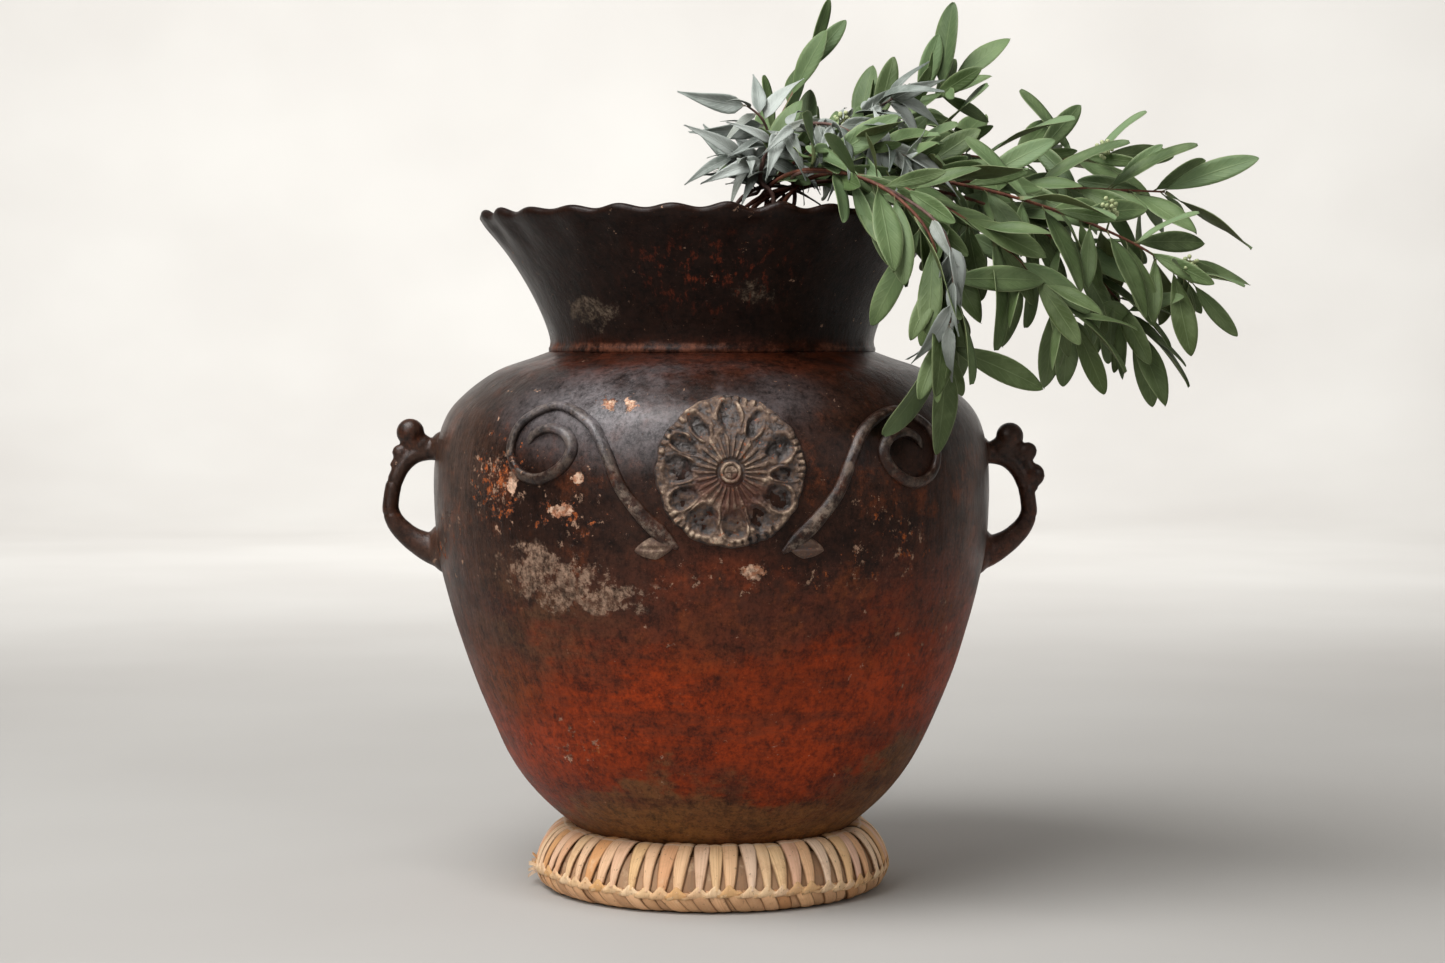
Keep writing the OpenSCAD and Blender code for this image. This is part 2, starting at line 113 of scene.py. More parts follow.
# Route of the right handle's roll: out from the jar's axis, height, radius
HANDLE = [
    (213, 346, 11.5), (221, 345, 9), (229, 343.8, 7.9), (238.5, 340, 7.2), (247, 331.5, 6.7),
    (252.6, 320, 6.5), (255.7, 307, 6.5), (255.9, 296, 6.8), (251, 285.5, 7.8),
    (241.5, 276, 9), (230, 269, 11.2), (220, 265.8, 14), (212, 265.5, 17),
]


# ---- numbers and curves ----

def hashed(i, k=0):
    """A number from 0 to 1 that looks random but is the same every time."""
    return ((i * 7919 + k * 104729 + 1013) % 9973) / 9973


def unit(v):
    v = np.asarray(v, float)
    return v / np.linalg.norm(v, axis=-1, keepdims=True)


def smooth(x, low, high):
    """0 below low, 1 above high and a smooth step between."""
    t = np.clip((np.asarray(x, float) - low) / (high - low), 0, 1)
    return t * t * (3 - 2 * t)


def spline(points, shares):
    """Points at shares of a smooth curve through points, by the CAD source's rule."""
    p = np.asarray(points, float)
    n = len(p) - 1
    t = np.atleast_1d(np.asarray(shares, float)) * n
    s = np.clip(t.astype(int), 0, n - 1)
    f = (t - s)[:, None]
    a, b, c, d = p[np.maximum(s - 1, 0)], p[s], p[s + 1], p[np.minimum(s + 2, n)]
    return 0.5 * (2 * b + (c - a) * f + (2 * a - 5 * b + 4 * c - d) * f**2
                  + (3 * b - a - 3 * c + d) * f**3)


def rough(points, size, octaves=4):
    """Fractal noise from about -1 to 1 at points in millimetres, with features of a size."""
    flat = np.asarray(points, float).reshape(-1, 3) / size
    values = [noise.fractal(Vector(p), 1.0, 2.0, octaves) for p in flat]
    return np.array(values).reshape(np.shape(points)[:-1])


OUTLINE = spline([(r * BELLY_R, BOTTOM_Z + h * (SEAM_Z - BOTTOM_Z)) for r, h in BODY],
                 np.linspace(0, 1, 241))


def body_radius(z):
    return np.interp(z, OUTLINE[:, 1], OUTLINE[:, 0])


def neck_radius(z):
    u = (z - SEAM_Z) / (RIM_Z - 8 - SEAM_Z)
    return NECK_R + (RIM_R - 2 - NECK_R) * (0.48 * u + 0.52 * u * u)


def uneven(angle, z):
    """How far the hand-built wall strays from round. It is true where it meets the ring."""
    free = smooth(z, 55, 120)
    return free * (0.75 * np.sin(2 * angle + 1.1 + z / 95) + 0.5 * np.sin(3 * angle - z / 60)
                   + 0.3 * np.sin(5 * angle + z / 33 + 2) + 0.16 * np.sin(11 * angle - z / 19))


def wall(angle, z, lift=0.0):
    """Points that stand lift off the jar's wall, at angles and heights."""
    angle, z, lift = np.broadcast_arrays(*(np.asarray(v, float) for v in (angle, z, lift)))
    slope = (body_radius(z + 1) - body_radius(z - 1)) / 2
    lean = np.sqrt(1 + slope**2)
    r = body_radius(z) + uneven(angle, z) + lift / lean
    return np.stack([r * np.sin(angle), -r * np.cos(angle), z - lift * slope / lean], -1)


# ---- meshes ----

def grid_faces(rows, columns, wrapped=False):
    """Quads between the points of a grid that was flattened row by row."""
    r = np.arange(rows - 1)[:, None]
    c = np.arange(columns if wrapped else columns - 1)[None, :]
    r2, c2 = (r + 1) % rows, (c + 1) % columns
    corners = [r * columns + c, r * columns + c2, r2 * columns + c2, r2 * columns + c]
    return np.stack(corners, -1).reshape(-1, 4).tolist()


def rings_shape(grid):
    """A closed shape from rings of points, with both ends capped."""
    rows, columns = grid.shape[:2]
    caps = [list(range(columns)), list(range((rows - 1) * columns, rows * columns))]
    return grid.reshape(-1, 3), grid_faces(rows, columns, True) + caps


def joined(parts):
    """One (points, faces) from several."""
    points, faces, start = [], [], 0
    for p, f in parts:
        p = np.asarray(p, float).reshape(-1, 3)
        points.append(p)
        faces += [[i + start for i in face] for face in f]
        start += len(p)
    return np.vstack(points), faces


def new_mesh(name, points, faces):
    mesh = bpy.data.meshes.new(name)
    mesh.from_pydata((np.asarray(points, float) * MM).tolist(), [], faces)
    mesh.update()
    return mesh


def mesh_piece(name, shape, body, material, replaces=(), sharp=False, values=None):
    """Makes a piece from (points, faces), paints it and sets it to ride on a body."""
    mesh = new_mesh(name, *shape)
    closed = bmesh.new()
    closed.from_mesh(mesh)
    bmesh.ops.recalc_face_normals(closed, faces=closed.faces)
    closed.to_mesh(mesh)
    closed.free()
    mesh.polygons.foreach_set("use_smooth", [not sharp] * len(mesh.polygons))
    for key, numbers in (values or {}).items():
        mesh.attributes.new(key, "FLOAT", "POINT").data.foreach_set(
            "value", np.asarray(numbers, np.float32).ravel())
    mesh.materials.append(material)
    piece = bpy.data.objects.new(name, mesh)
    bpy.context.scene.collection.objects.link(piece)
    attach(piece, body)
    if replaces:
        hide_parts(*replaces)
    return piece


def tube(path, radii, sides=12):
    """A closed round tube along a path, with a radius at each point."""
    p = np.asarray(path, float)
    ahead = unit(np.gradient(p, axis=0))
    across = np.cross(ahead, [0, 0, 1])
    upright = np.linalg.norm(across, axis=1) < 0.3
    across[upright] = np.cross(ahead[upright], [0, 1, 0])
    for i in range(1, len(p)):
        if across[i] @ across[i - 1] < 0:
            across[i] = -across[i]
    across = unit(across)
    other = np.cross(ahead, across)
    a = np.arange(sides) * tau / sides
    r = np.broadcast_to(np.asarray(radii, float), len(p))[:, None, None]
    ring = np.cos(a)[None, :, None] * across[:, None] + np.sin(a)[None, :, None] * other[:, None]
    return rings_shape(p[:, None] + r * ring)


def ball(centre, radii, turn=0.0, detail=3):
    """A round lump with three radii, turned about the Y axis."""
    lump = bmesh.new()
    bmesh.ops.create_icosphere(lump, subdivisions=detail, radius=1)
    turned = Matrix.Rotation(radians(turn), 3, "Y")
    points = [turned @ Vector(c * r for c, r in zip(v.co, radii)) for v in lump.verts]
    faces = [[v.index for v in f.verts] for f in lump.faces]
    lump.free()
    return np.array(points) + np.asarray(centre, float), faces


def fused(parts, voxel, rounds):
    """One smooth skin round several closed shapes that overlap."""
    helper = bpy.data.objects.new("helper", new_mesh("helper", *joined(parts)))
    bpy.context.scene.collection.objects.link(helper)
    remesh = helper.modifiers.new("remesh", "REMESH")
    remesh.mode = "VOXEL"
    remesh.voxel_size = voxel * MM
    blur = helper.modifiers.new("blur", "SMOOTH")
    blur.factor = 0.5
    blur.iterations = rounds
    done = helper.evaluated_get(bpy.context.evaluated_depsgraph_get()).to_mesh()
    points = np.array([v.co for v in done.vertices]) / MM
    faces = [list(f.vertices) for f in done.polygons]
    mesh = helper.data
    bpy.data.objects.remove(helper)
    bpy.data.meshes.remove(mesh)
    return points, faces


def shell(top, thickness):
    """A thin closed sheet from a grid of points, which is its upper side."""
    rows, columns = top.shape[:2]
    normal = unit(np.cross(np.gradient(top, axis=1), np.gradient(top, axis=0)))
    under = top - normal * thickness
    half = rows * columns
    faces = grid_faces(rows, columns)
    faces += [[i + half for i in face] for face in faces]
    edge = [(0, c) for c in range(columns)] + [(r, columns - 1) for r in range(1, rows)]
    edge += [(rows - 1, c) for c in range(columns - 2, -1, -1)]
    edge += [(r, 0) for r in range(rows - 2, 0, -1)]
    line = [r * columns + c for r, c in edge]
    for a, b in zip(line, line[1:] + line[:1]):
        faces.append([a, b, b + half, a + half])
    return np.concatenate([top.reshape(-1, 3), under.reshape(-1, 3)]), faces


def sheets_shape(sheets, thickness, owns):
    """Closed sheets joined, with each one's own number and each point's place on its sheet."""
    values = {"own": [], "along": [], "across": [], "under": []}
    for sheet, own in zip(sheets, owns):
        rows, columns = sheet.shape[:2]
        along, across = np.meshgrid(np.linspace(0, 1, rows), np.linspace(-1, 1, columns),
                                    indexing="ij")
        values["own"] += [own] * (2 * rows * columns)
        values["along"] += [*along.ravel()] * 2
        values["across"] += [*across.ravel()] * 2
        values["under"] += [0] * (rows * columns) + [1] * (rows * columns)
    return joined([shell(sheet, thickness) for sheet in sheets]), values


# ---- paint ----

def srgb(*levels):
    """A colour from its 0 to 255 levels on screen."""
    share = [v / 255 for v in levels]
    return [v / 12.92 if v <= 0.04045 else ((v + 0.055) / 1.055) ** 2.4 for v in share] + [1]


class Level:
    """A number that varies over a surface, and that plain sums work on."""

    def __init__(self, paint, socket):
        self.paint, self.socket = paint, socket

    def __add__(self, other):
        return self.paint.math("ADD", self, other)

    def __sub__(self, other):
        return self.paint.math("SUBTRACT", self, other)

    def __mul__(self, other):
        return self.paint.math("MULTIPLY", self, other)


class Paint:
    """A node material, with short ways to add what these surfaces need."""

    def __init__(self, name):
        self.material = bpy.data.materials.new(name)
        self.material.use_nodes = True
        self.tree = self.material.node_tree
        self.shader = self.tree.nodes["Principled BSDF"]
        self.place = self.node("ShaderNodeTexCoord").outputs["Object"]

    def node(self, kind, inputs=None, **settings):
        made = self.tree.nodes.new(kind)
        for key, value in settings.items():
            setattr(made, key, value)
        for key, value in (inputs or {}).items():
            self.put(value, made.inputs[key])
        return made

    def put(self, value, end):
        """Links a level or another node's output to an input, or sets it to a plain value."""
        value = value.socket if isinstance(value, Level) else value
        if isinstance(value, bpy.types.NodeSocket):
            self.tree.links.new(value, end)
        else:
            end.default_value = value

    def level(self, kind, inputs, output=0, **settings):
        return Level(self, self.node(kind, inputs, **settings).outputs[output])

    def stretched(self, scale, shift=(0, 0, 0)):
        """The place, scaled by three numbers, so that noise on it runs in streaks."""
        return self.node("ShaderNodeMapping", {0: self.place, 1: shift, 3: scale}).outputs[0]

    def noise(self, size, detail=5.0, roughness=0.6, stretch=(1, 1, 1), shift=0.0):
        """Cloudy noise, about 0.3 to 0.7, with features of a size in millimetres."""
        place = self.stretched([s / (size * MM) for s in stretch], (shift, shift, shift))
        return self.cloud(place, detail, roughness)

    def cloud(self, place, detail, roughness):
        inputs = {"Vector": place, "Scale": 1.0, "Detail": detail, "Roughness": roughness}
        return self.level("ShaderNodeTexNoise", inputs)

    def math(self, kind, a, b=0.0, c=0.0):
        return self.level("ShaderNodeMath", {0: a, 1: b, 2: c}, operation=kind)

    def step(self, value, low, high, start=0.0, end=1.0):
        """start below low, end above high and a smooth step between."""
        inputs = {0: value, 1: low, 2: high, 3: start, 4: end}
        return self.level("ShaderNodeMapRange", inputs, interpolation_type="SMOOTHSTEP")

    def along(self, axis):
        """The place along an axis, in millimetres."""
        part = self.level("ShaderNodeSeparateXYZ", {0: self.place}, "XYZ".index(axis))
        return self.math("DIVIDE", part, MM)

    def value(self, key):
        """A number stored in the mesh."""
        return self.level("ShaderNodeAttribute", {}, "Fac", attribute_name=key)

    def blob(self, centre, radii, soft=0.5):
        """1 round a place, fading to 0 at its radii along X, Y and Z, all in millimetres."""
        scale = [1 / (r * MM) for r in radii]
        shift = [-c / r for c, r in zip(centre, radii)]
        inputs = {0: self.stretched(scale, shift)}
        far = self.level("ShaderNodeVectorMath", inputs, "Value", operation="LENGTH")
        return self.step(far, 1 - soft, 1.0, 1.0, 0.0)

    def ramp(self, value, stops):
        """A colour that changes with a value, from stops of (value, colour)."""
        low, high = stops[0][0], stops[-1][0]
        share = self.node("ShaderNodeMapRange", {0: value, 1: low, 2: high}).outputs[0]
        made = self.node("ShaderNodeValToRGB", {0: share})
        band = made.color_ramp
        for at, colour in stops[1:-1]:
            band.elements.new((at - low) / (high - low)).color = colour
        band.elements[0].color = stops[0][1]
        band.elements[-1].color = stops[-1][1]
        return made.outputs[0]

    def mix(self, share, a, b, kind="MIX"):
        settings = {"data_type": "RGBA", "blend_type": kind}
        return self.node("ShaderNodeMix", {0: share, 6: a, 7: b}, **settings).outputs[2]

    def mix_value(self, share, a, b):
        return self.level("ShaderNodeMix", {0: share, 2: a, 3: b})

    def bump(self, height, distance, strength=1.0, under=None):
        """A normal from a height of 0 to 1 that stands for a distance in millimetres."""
        inputs = {"Height": height, "Distance": distance * MM, "Strength": strength}
        if under is not None:
            inputs["Normal"] = under
        return self.node("ShaderNodeBump", inputs).outputs[0]

    def finish(self, colour, roughness, normal=None, **fixed):
        """Links the colour, roughness and normal, and sets what is the same all over."""
        links = {"Base Color": colour, "Roughness": roughness, "Normal": normal}
        for key, value in links.items():
            if value is not None:
                self.put(value, self.shader.inputs[key])
        for key, value in fixed.items():
            self.shader.inputs[key.replace("_", " ")].default_value = value
        return self.material


# ---- clay ----

DARK = srgb(44, 25, 17)
SOOT = srgb(26, 13, 8)
UMBER = srgb(66, 40, 26)
RED = srgb(108, 37, 6)
BRIGHT_RED = srgb(130, 44, 6)
OCHRE = srgb(96, 44, 6)
BROWN = srgb(100, 64, 31)
BUFF = srgb(132, 104, 86)
GREY = srgb(104, 90, 76)
# Blue-grey of the shoulder's painted sheen, partly the clay's own grey bloom
SHEEN_AND_BLOOM = srgb(112, 108, 110)
RUST = srgb(100, 48, 20)
CHIP = srgb(146, 78, 40)


def clay_zones(p):
    """The jar's colour and roughness by place: dark where the kiln smoked it, red below."""
    x, z = p.along("X"), p.along("Z")
    cloud = p.noise(110, 5, 0.6, shift=3.1)
    mottle = p.noise(30, 8, 0.7, shift=8.4)
    brushed = p.noise(26, 6, 0.65, (0.3, 0.3, 5.0), 1.7)
    level = z + (cloud - 0.5) * 120
    level = level + (mottle - 0.5) * 95
    level = level + (brushed - 0.5) * 34
    level = level + p.step(x, 60, 190, 0.0, -26)
    level = level + p.step(x, -210, -40, 34, 0.0)
    colour = p.ramp(level, [
        (0, UMBER), (50, BROWN), (92, srgb(90, 54, 28)), (108, RED), (148, BRIGHT_RED),
        (190, RED), (216, srgb(82, 36, 20)), (250, srgb(58, 30, 20)), (310, DARK), (440, SOOT),
    ])
    rusty = p.step(p.noise(42, 9, 0.74, shift=12.1), 0.5, 0.64) * p.step(z, 440, 300, 0.0, 1.0)
    colour = p.mix(rusty * p.step(z, 150, 240, 0.0, 0.6), colour, RUST)
    soot = p.step(p.noise(58, 8, 0.7, shift=6.6), 0.5, 0.6) * p.step(z, 205, 270)
    colour = p.mix(soot * 0.75, colour, SOOT)
    dull = p.step(p.noise(46, 8, 0.72, (0.4, 0.4, 2.0), 15.3), 0.47, 0.62) * 0.6
    colour = p.mix(dull * p.step(z, 260, 190, 0.0, 1.0), colour, srgb(74, 34, 18))
    spent = p.blob((-150, -150, 225), (130, 120, 66), 0.9)
    spent = spent * p.step(p.noise(48, 7, 0.72, (0.7, 0.7, 2), 2.2), 0.38, 0.6)
    colour = p.mix(spent * 0.85, colour, srgb(70, 46, 29))
    ochre = p.blob((-175, -110, 170), (60, 90, 44), 0.9) * 0.8
    colour = p.mix(ochre, colour, OCHRE)
    smear = p.blob((6, -170, 96), (10, 60, 17), 0.7)
    colour = p.mix(smear * 0.6, colour, srgb(62, 16, 6))
    # Painted reflection: lighter grey-brown towards the left and right silhouettes, where the wall
    # meets the pale room at a grazing angle
    side = p.step(p.math("ABSOLUTE", x), 150, 215) * p.step(cloud, 0.36, 0.6, 0.05, 0.34)
    colour = p.mix(side * p.step(z, 440, 380, 0.0, 1.0), colour, srgb(84, 62, 50))
    glow = p.blob((-6, -212, 258), (84, 60, 34), 0.95) * p.step(mottle, 0.4, 0.6)
    colour = p.mix(glow * 0.75, colour, srgb(104, 44, 20))
    # Near-black patches: the one on the left is smoke on the clay; the one on the right shoulder,
    # away from the lamps, is painted shade
    smoke_and_shade = p.math("MAXIMUM", p.blob((-136, -160, 308), (92, 80, 50), 0.9),
                   p.blob((132, -140, 376), (96, 100, 62), 0.95) * 0.9)
    smoke_and_shade = smoke_and_shade * p.step(p.noise(30, 8, 0.74, shift=24.5), 0.38, 0.54, 0.5, 1.0)
    colour = p.mix(smoke_and_shade, colour, SOOT)
    # Painted sheen on the upper left of the shoulder, partly grey bloom on the clay; the same
    # patch is also made glossier
    sheen_and_bloom = p.blob((-66, -190, 386), (165, 130, 54), 0.95) * p.step(cloud, 0.34, 0.56)
    sheen_and_bloom = sheen_and_bloom * p.step(mottle, 0.3, 0.6, 0.55, 1.0)
    colour = p.mix(sheen_and_bloom * 0.7, colour, SHEEN_AND_BLOOM)
    rough_level = p.mix_value(sheen_and_bloom, p.step(z, 190, 300, 0.5, 0.34), 0.24)
    return colour, rough_level + (mottle - 0.5) * 0.4


def grained(p, colour):
    """Darkens and lightens a colour as rubbing, brushing and fine grit do."""
    rubbed = p.noise(9, 8, 0.78, (1.3, 1.3, 0.6), 5.2) * 0.3
    swept = p.noise(16, 7, 0.72, (0.5, 0.5, 2.4), 23.0) * 0.12
    grit = p.noise(3.4, 6, 0.8, shift=17.0) * 0.34
    tone = rubbed + swept + (grit + p.noise(28, 8, 0.78, shift=28.0) * 0.2)
    tone = p.step(tone, 0.38, 0.55, 0.3, 1.75)
    shade = p.node("ShaderNodeCombineColor", {0: tone, 1: tone, 2: tone}).outputs[0]
    return p.mix(1.0, colour, shade, "MULTIPLY")


def worn(p, colour, roughness, share, paint, rough_to):
    """Lays a worn or grown patch over the clay where share is high."""
    return p.mix(share, colour, paint), p.mix_value(share, roughness, rough_to)


def clay_marks(p, colour, roughness):
    """Mineral bloom, chips in the slip and grey deposits, where the real jar has them."""
    ragged = p.noise(24, 9, 0.76, shift=4.4)
    fine = p.noise(6.5, 7, 0.74, shift=7.9)
    dust = p.noise(2.6, 5, 0.7, shift=21.0)
    bloom = p.blob((-138, -178, 260), (84, 70, 36), 0.95)
    bloom_low = p.blob((-96, -192, 248), (84, 60, 17), 0.95) * 0.95
    around = p.math("MAXIMUM", bloom, bloom_low)
    share = p.step(around * 0.36 + (ragged - 0.5) * 2.1, 0.14, 0.26)
    share = share * p.step(around, 0.02, 0.2) * p.step(fine, 0.36, 0.5, 0.42, 0.86)
    powder = p.mix(p.step(fine * 0.6 + dust * 0.4, 0.42, 0.56), srgb(84, 62, 49),
                   srgb(134, 110, 93))
    colour, roughness = worn(p, colour, roughness, share, powder, 0.85)
    chips = [
        ((-168, -140, 332), (50, 80, 62), 0.95), ((-110, -180, 305), (76, 60, 40), 0.75),
        ((-92, -190, 392), (24, 50, 12), 0.9), ((118, -180, 285), (80, 80, 62), 0.6),
        ((165, -130, 215), (80, 90, 60), 0.5), ((-115, -150, 122), (80, 90, 44), 0.5),
        ((20, -215, 262), (110, 60, 26), 0.75), ((0, -120, 40), (130, 130, 18), 0.7),
        ((-210, -40, 280), (50, 120, 60), 0.6), ((0, 200, 260), (170, 90, 120), 0.5),
    ]
    near = 0.0
    for place, size, much in chips:
        near = p.math("MAXIMUM", near, p.blob(place, size, 0.95) * much)
    flake = fine * 0.6 + ragged * 0.4
    edge = near * 0.15 + flake
    warm = p.mix(p.step(dust, 0.42, 0.6), RUST, CHIP)
    colour, roughness = worn(p, colour, roughness, p.step(edge, 0.635, 0.665), warm, 0.8)
    tan = p.step(near * 0.12 + p.noise(11, 7, 0.74, shift=31.0), 0.655, 0.68)
    colour, roughness = worn(p, colour, roughness, tan, BUFF, 0.85)
    flaked = [
        ((-88, -200, 390), (11, 40, 9)), ((-71, -203, 389), (8, 40, 8)),
        ((-123, -183, 311), (12, 40, 7)), ((-159, -153, 328), (5, 40, 9)),
        ((-110, -190, 335), (6, 40, 6)), ((16, -220, 268), (13, 40, 8)),
        ((-24, -200, 114), (5, 40, 12)), ((-118, -150, 118), (8, 40, 8)),
    ]
    bare = 0.0
    for place, size in flaked:
        bare = p.math("MAXIMUM", bare, p.blob(place, [1.25 * r for r in size], 0.9))
    bare = p.step(bare + (p.noise(8, 6, 0.75, shift=41.0) - 0.5) * 2.6, 0.5, 0.62)
    pink = p.mix(p.step(fine, 0.44, 0.58), srgb(140, 94, 70), srgb(182, 152, 130))
    colour, roughness = worn(p, colour, roughness, bare, pink, 0.85)
    speck = p.step(dust, 0.64, 0.7)
    colour, roughness = worn(p, colour, roughness, speck * 0.4, srgb(118, 84, 64), 0.7)
    pit = p.step(dust, 0.3, 0.36, 1.0, 0.0)
    colour = p.mix(pit * 0.5, colour, SOOT)
    return colour, roughness, edge, flake


def neck_marks(p, colour, roughness):
    """The paler seam, and the scuffs and red streaks of the neck above it."""
    z = p.along("Z")
    patchy = p.noise(20, 8, 0.74, shift=9.3)
    # The seam ridge's paler top, more of it on the left: partly chipped wear, partly painted
    # highlight
    seam = p.step(z, SEAM_Z - 3, SEAM_Z + 1) * p.step(z, SEAM_Z + 4, SEAM_Z + 7, 1.0, 0.0)
    share = seam * p.step(patchy, p.step(p.along("X"), -60, 60, 0.4, 0.5), 0.62, 0.0, 0.85)
    colour, roughness = worn(p, colour, roughness, share, srgb(104, 68, 52), 0.6)
    blush = p.step(z, SEAM_Z - 30, SEAM_Z - 4) * p.step(z, SEAM_Z, SEAM_Z + 16, 1.0, 0.0)
    colour = p.mix(blush * p.step(patchy, 0.36, 0.62, 0.0, 0.5), colour, srgb(78, 34, 18))
    scuffs = p.math("MAXIMUM", p.blob((-94, -92, 456), (42, 50, 24), 0.95),
                    p.blob((22, -137, 470), (44, 50, 18), 0.95) * 0.85)
    share = p.step(scuffs * 0.4 + (patchy - 0.5) * 1.2, 0.18, 0.34)
    share = share * p.step(scuffs, 0.02, 0.2)
    share = share * p.step(p.noise(5, 7, 0.78, shift=26.0), 0.42, 0.6, 0.08, 0.75)
    colour, roughness = worn(p, colour, roughness, share, GREY, 0.75)
    streaks = p.step(p.noise(12, 7, 0.72, (2, 2, 0.3), 3.3), 0.52, 0.66)
    share = streaks * (p.blob((-6, -147, 488), (96, 70, 48), 0.95) * 0.75)
    return worn(p, colour, roughness, share, srgb(112, 46, 24), 0.5)


def clay(name, level=0.18):
    """Burnished and smoked terracotta, the same all over the jar wherever it is used."""
    p = Paint(name)
    colour, roughness = clay_zones(p)
    colour, roughness, chipped, flake = clay_marks(p, colour, roughness)
    colour, roughness = neck_marks(p, colour, roughness)
    dusty = p.value("dusty") * p.step(p.noise(10, 7, 0.75, shift=19.0), 0.44, 0.6)
    colour, roughness = worn(p, colour, roughness, dusty, srgb(112, 98, 86), 0.65)
    # Painted shade: darkens the undercut side of the scroll rolls towards soot
    colour = p.mix(p.value("undercut_shade") * 0.8, colour, SOOT)
    colour = grained(p, colour)
    grain = p.noise(1.8, 4, 0.7)
    strokes = p.noise(9, 5, 0.65, (3, 3, 0.25), 6.1)
    relief = grain * 0.35 + (strokes * 0.5 + flake * 0.7)
    relief = relief + p.step(chipped, 0.62, 0.66) * -0.4
    facets = p.bump(p.noise(46, 3, 0.5, (1, 1, 0.7), 2.6), 2.2)
    normal = p.bump(relief, 0.55, under=facets)
    return p.finish(colour, roughness, normal, Specular_IOR_Level=level)


def deposit_clay(name):
    """The rosette's clay: rubbed pale on what stands out and dark in what is scooped."""
    p = Paint(name)
    high, redder = p.value("high"), p.value("redder")
    blotch = p.noise(15, 8, 0.75, shift=1.9)
    fine = p.noise(3.4, 6, 0.75, shift=4.2)
    level = high * 0.62 + (blotch - 0.42) * 1.7
    level = level + (fine - 0.5) * 1.3
    level = level + p.blob((-14, -222, 308), (56, 50, 42), 0.95) * 0.16
    colour = p.ramp(level, [
        (0.0, srgb(34, 26, 22)), (0.2, srgb(72, 64, 61)), (0.42, srgb(84, 63, 50)),
        (0.62, srgb(110, 90, 76)), (0.85, srgb(156, 134, 114)), (1.1, srgb(192, 170, 148)),
    ])
    ruddy = redder * p.step(p.noise(18, 6, 0.7, shift=6.7), 0.36, 0.56)
    colour = p.mix(ruddy * 0.75, colour, srgb(82, 42, 28))
    chips = p.step(p.noise(6, 6, 0.72, shift=14.2), 0.62, 0.66)
    colour = p.mix(chips * 0.8, colour, CHIP)
    grain = fine * 0.7 + p.noise(1.3, 3, 0.6) * 0.3
    roughness = p.step(level, 0.1, 0.8, 0.42, 0.85)
    return p.finish(colour, roughness, p.bump(grain, 0.9), Specular_IOR_Level=0.4)


# ---- the jar's wall ----

def lathe(outline, columns, move=None):
    """A closed wall turned from an outline of (radius, height), with move(points, angle)."""
    angle = np.arange(columns) * tau / columns
    r, z = np.array(outline, float).T
    grid = np.stack([r[:, None] * np.sin(angle), -r[:, None] * np.cos(angle),
                     np.repeat(z[:, None], columns, 1)], -1)
    if move is not None:
        grid = move(grid, np.broadcast_to(angle, grid.shape[:2]))
    return rings_shape(grid)


def pushed(grid, angle, by):
    """Moves points away from the jar's axis, by millimetres."""
    out = np.stack([np.sin(angle), -np.cos(angle), np.zeros_like(angle)], -1)
    return grid + out * np.asarray(by)[..., None]


def body_piece(material):
    """The moulded base and coiled shoulder, from the foot to under the neck's ridge."""
    outside = [(max(r, 0.6), z) for r, z in OUTLINE]
    step = np.gradient(OUTLINE, axis=0)
    inward = unit(np.stack([-step[:, 1], step[:, 0]], -1)) * WALL
    inside = [(max(r, 0.6), z) for r, z in (OUTLINE + inward)[::-4]]
    inside[0] = (NECK_R - WALL, SEAM_Z)

    def move(grid, angle):
        grid = pushed(grid, angle, uneven(angle, grid[..., 2]))
        dents = rough(grid[::2, ::4], 38, 3).repeat(2, 0).repeat(4, 1)
        free = smooth(grid[..., 2], 60, 110) * smooth(grid[..., 2], SEAM_Z, SEAM_Z - 20)
        return pushed(grid, angle, 0.35 * dents[:len(grid)] * free)

    shape = lathe(outside + inside, 384, move)
    return mesh_piece("jar_body", shape, "jar", material,
                      ["base_bowl", "shoulder_wall"])


def neck_outline():
    """Half section of neck and lip: the ridge, the outside, the lip and the inside."""
    ridge = [(NECK_R + 0.4 + SEAM_ROLL * cos(a), SEAM_Z + 0.5 + SEAM_ROLL * sin(a))
             for a in np.radians(range(-42, 44, 8))]
    outside = [(neck_radius(z) + 2.6 * math.exp((SEAM_Z + 3.4 - z) / 4.5), z)
               for z in SEAM_Z + 3.8 + (RIM_Z - SEAM_Z - 12.8) * np.linspace(0, 1, 60) ** 1.3]
    lip_r = RIM_R - 4.2
    lip = [(lip_r + 4.0 * cos(radians(a)), RIM_Z - 4.6 + 4.2 * sin(radians(a)))
           for a in range(-14, 190, 12)]
    inside = [(neck_radius(z) - 5 - 4 * (RIM_Z - z) / 108, z)
              for z in np.linspace(RIM_Z - 11, SEAM_Z + 2, 30)]
    foot = [(NECK_R - WALL, SEAM_Z - 0.5), (NECK_R - 1, SEAM_Z - 3)]
    return ridge + outside + lip + inside + foot


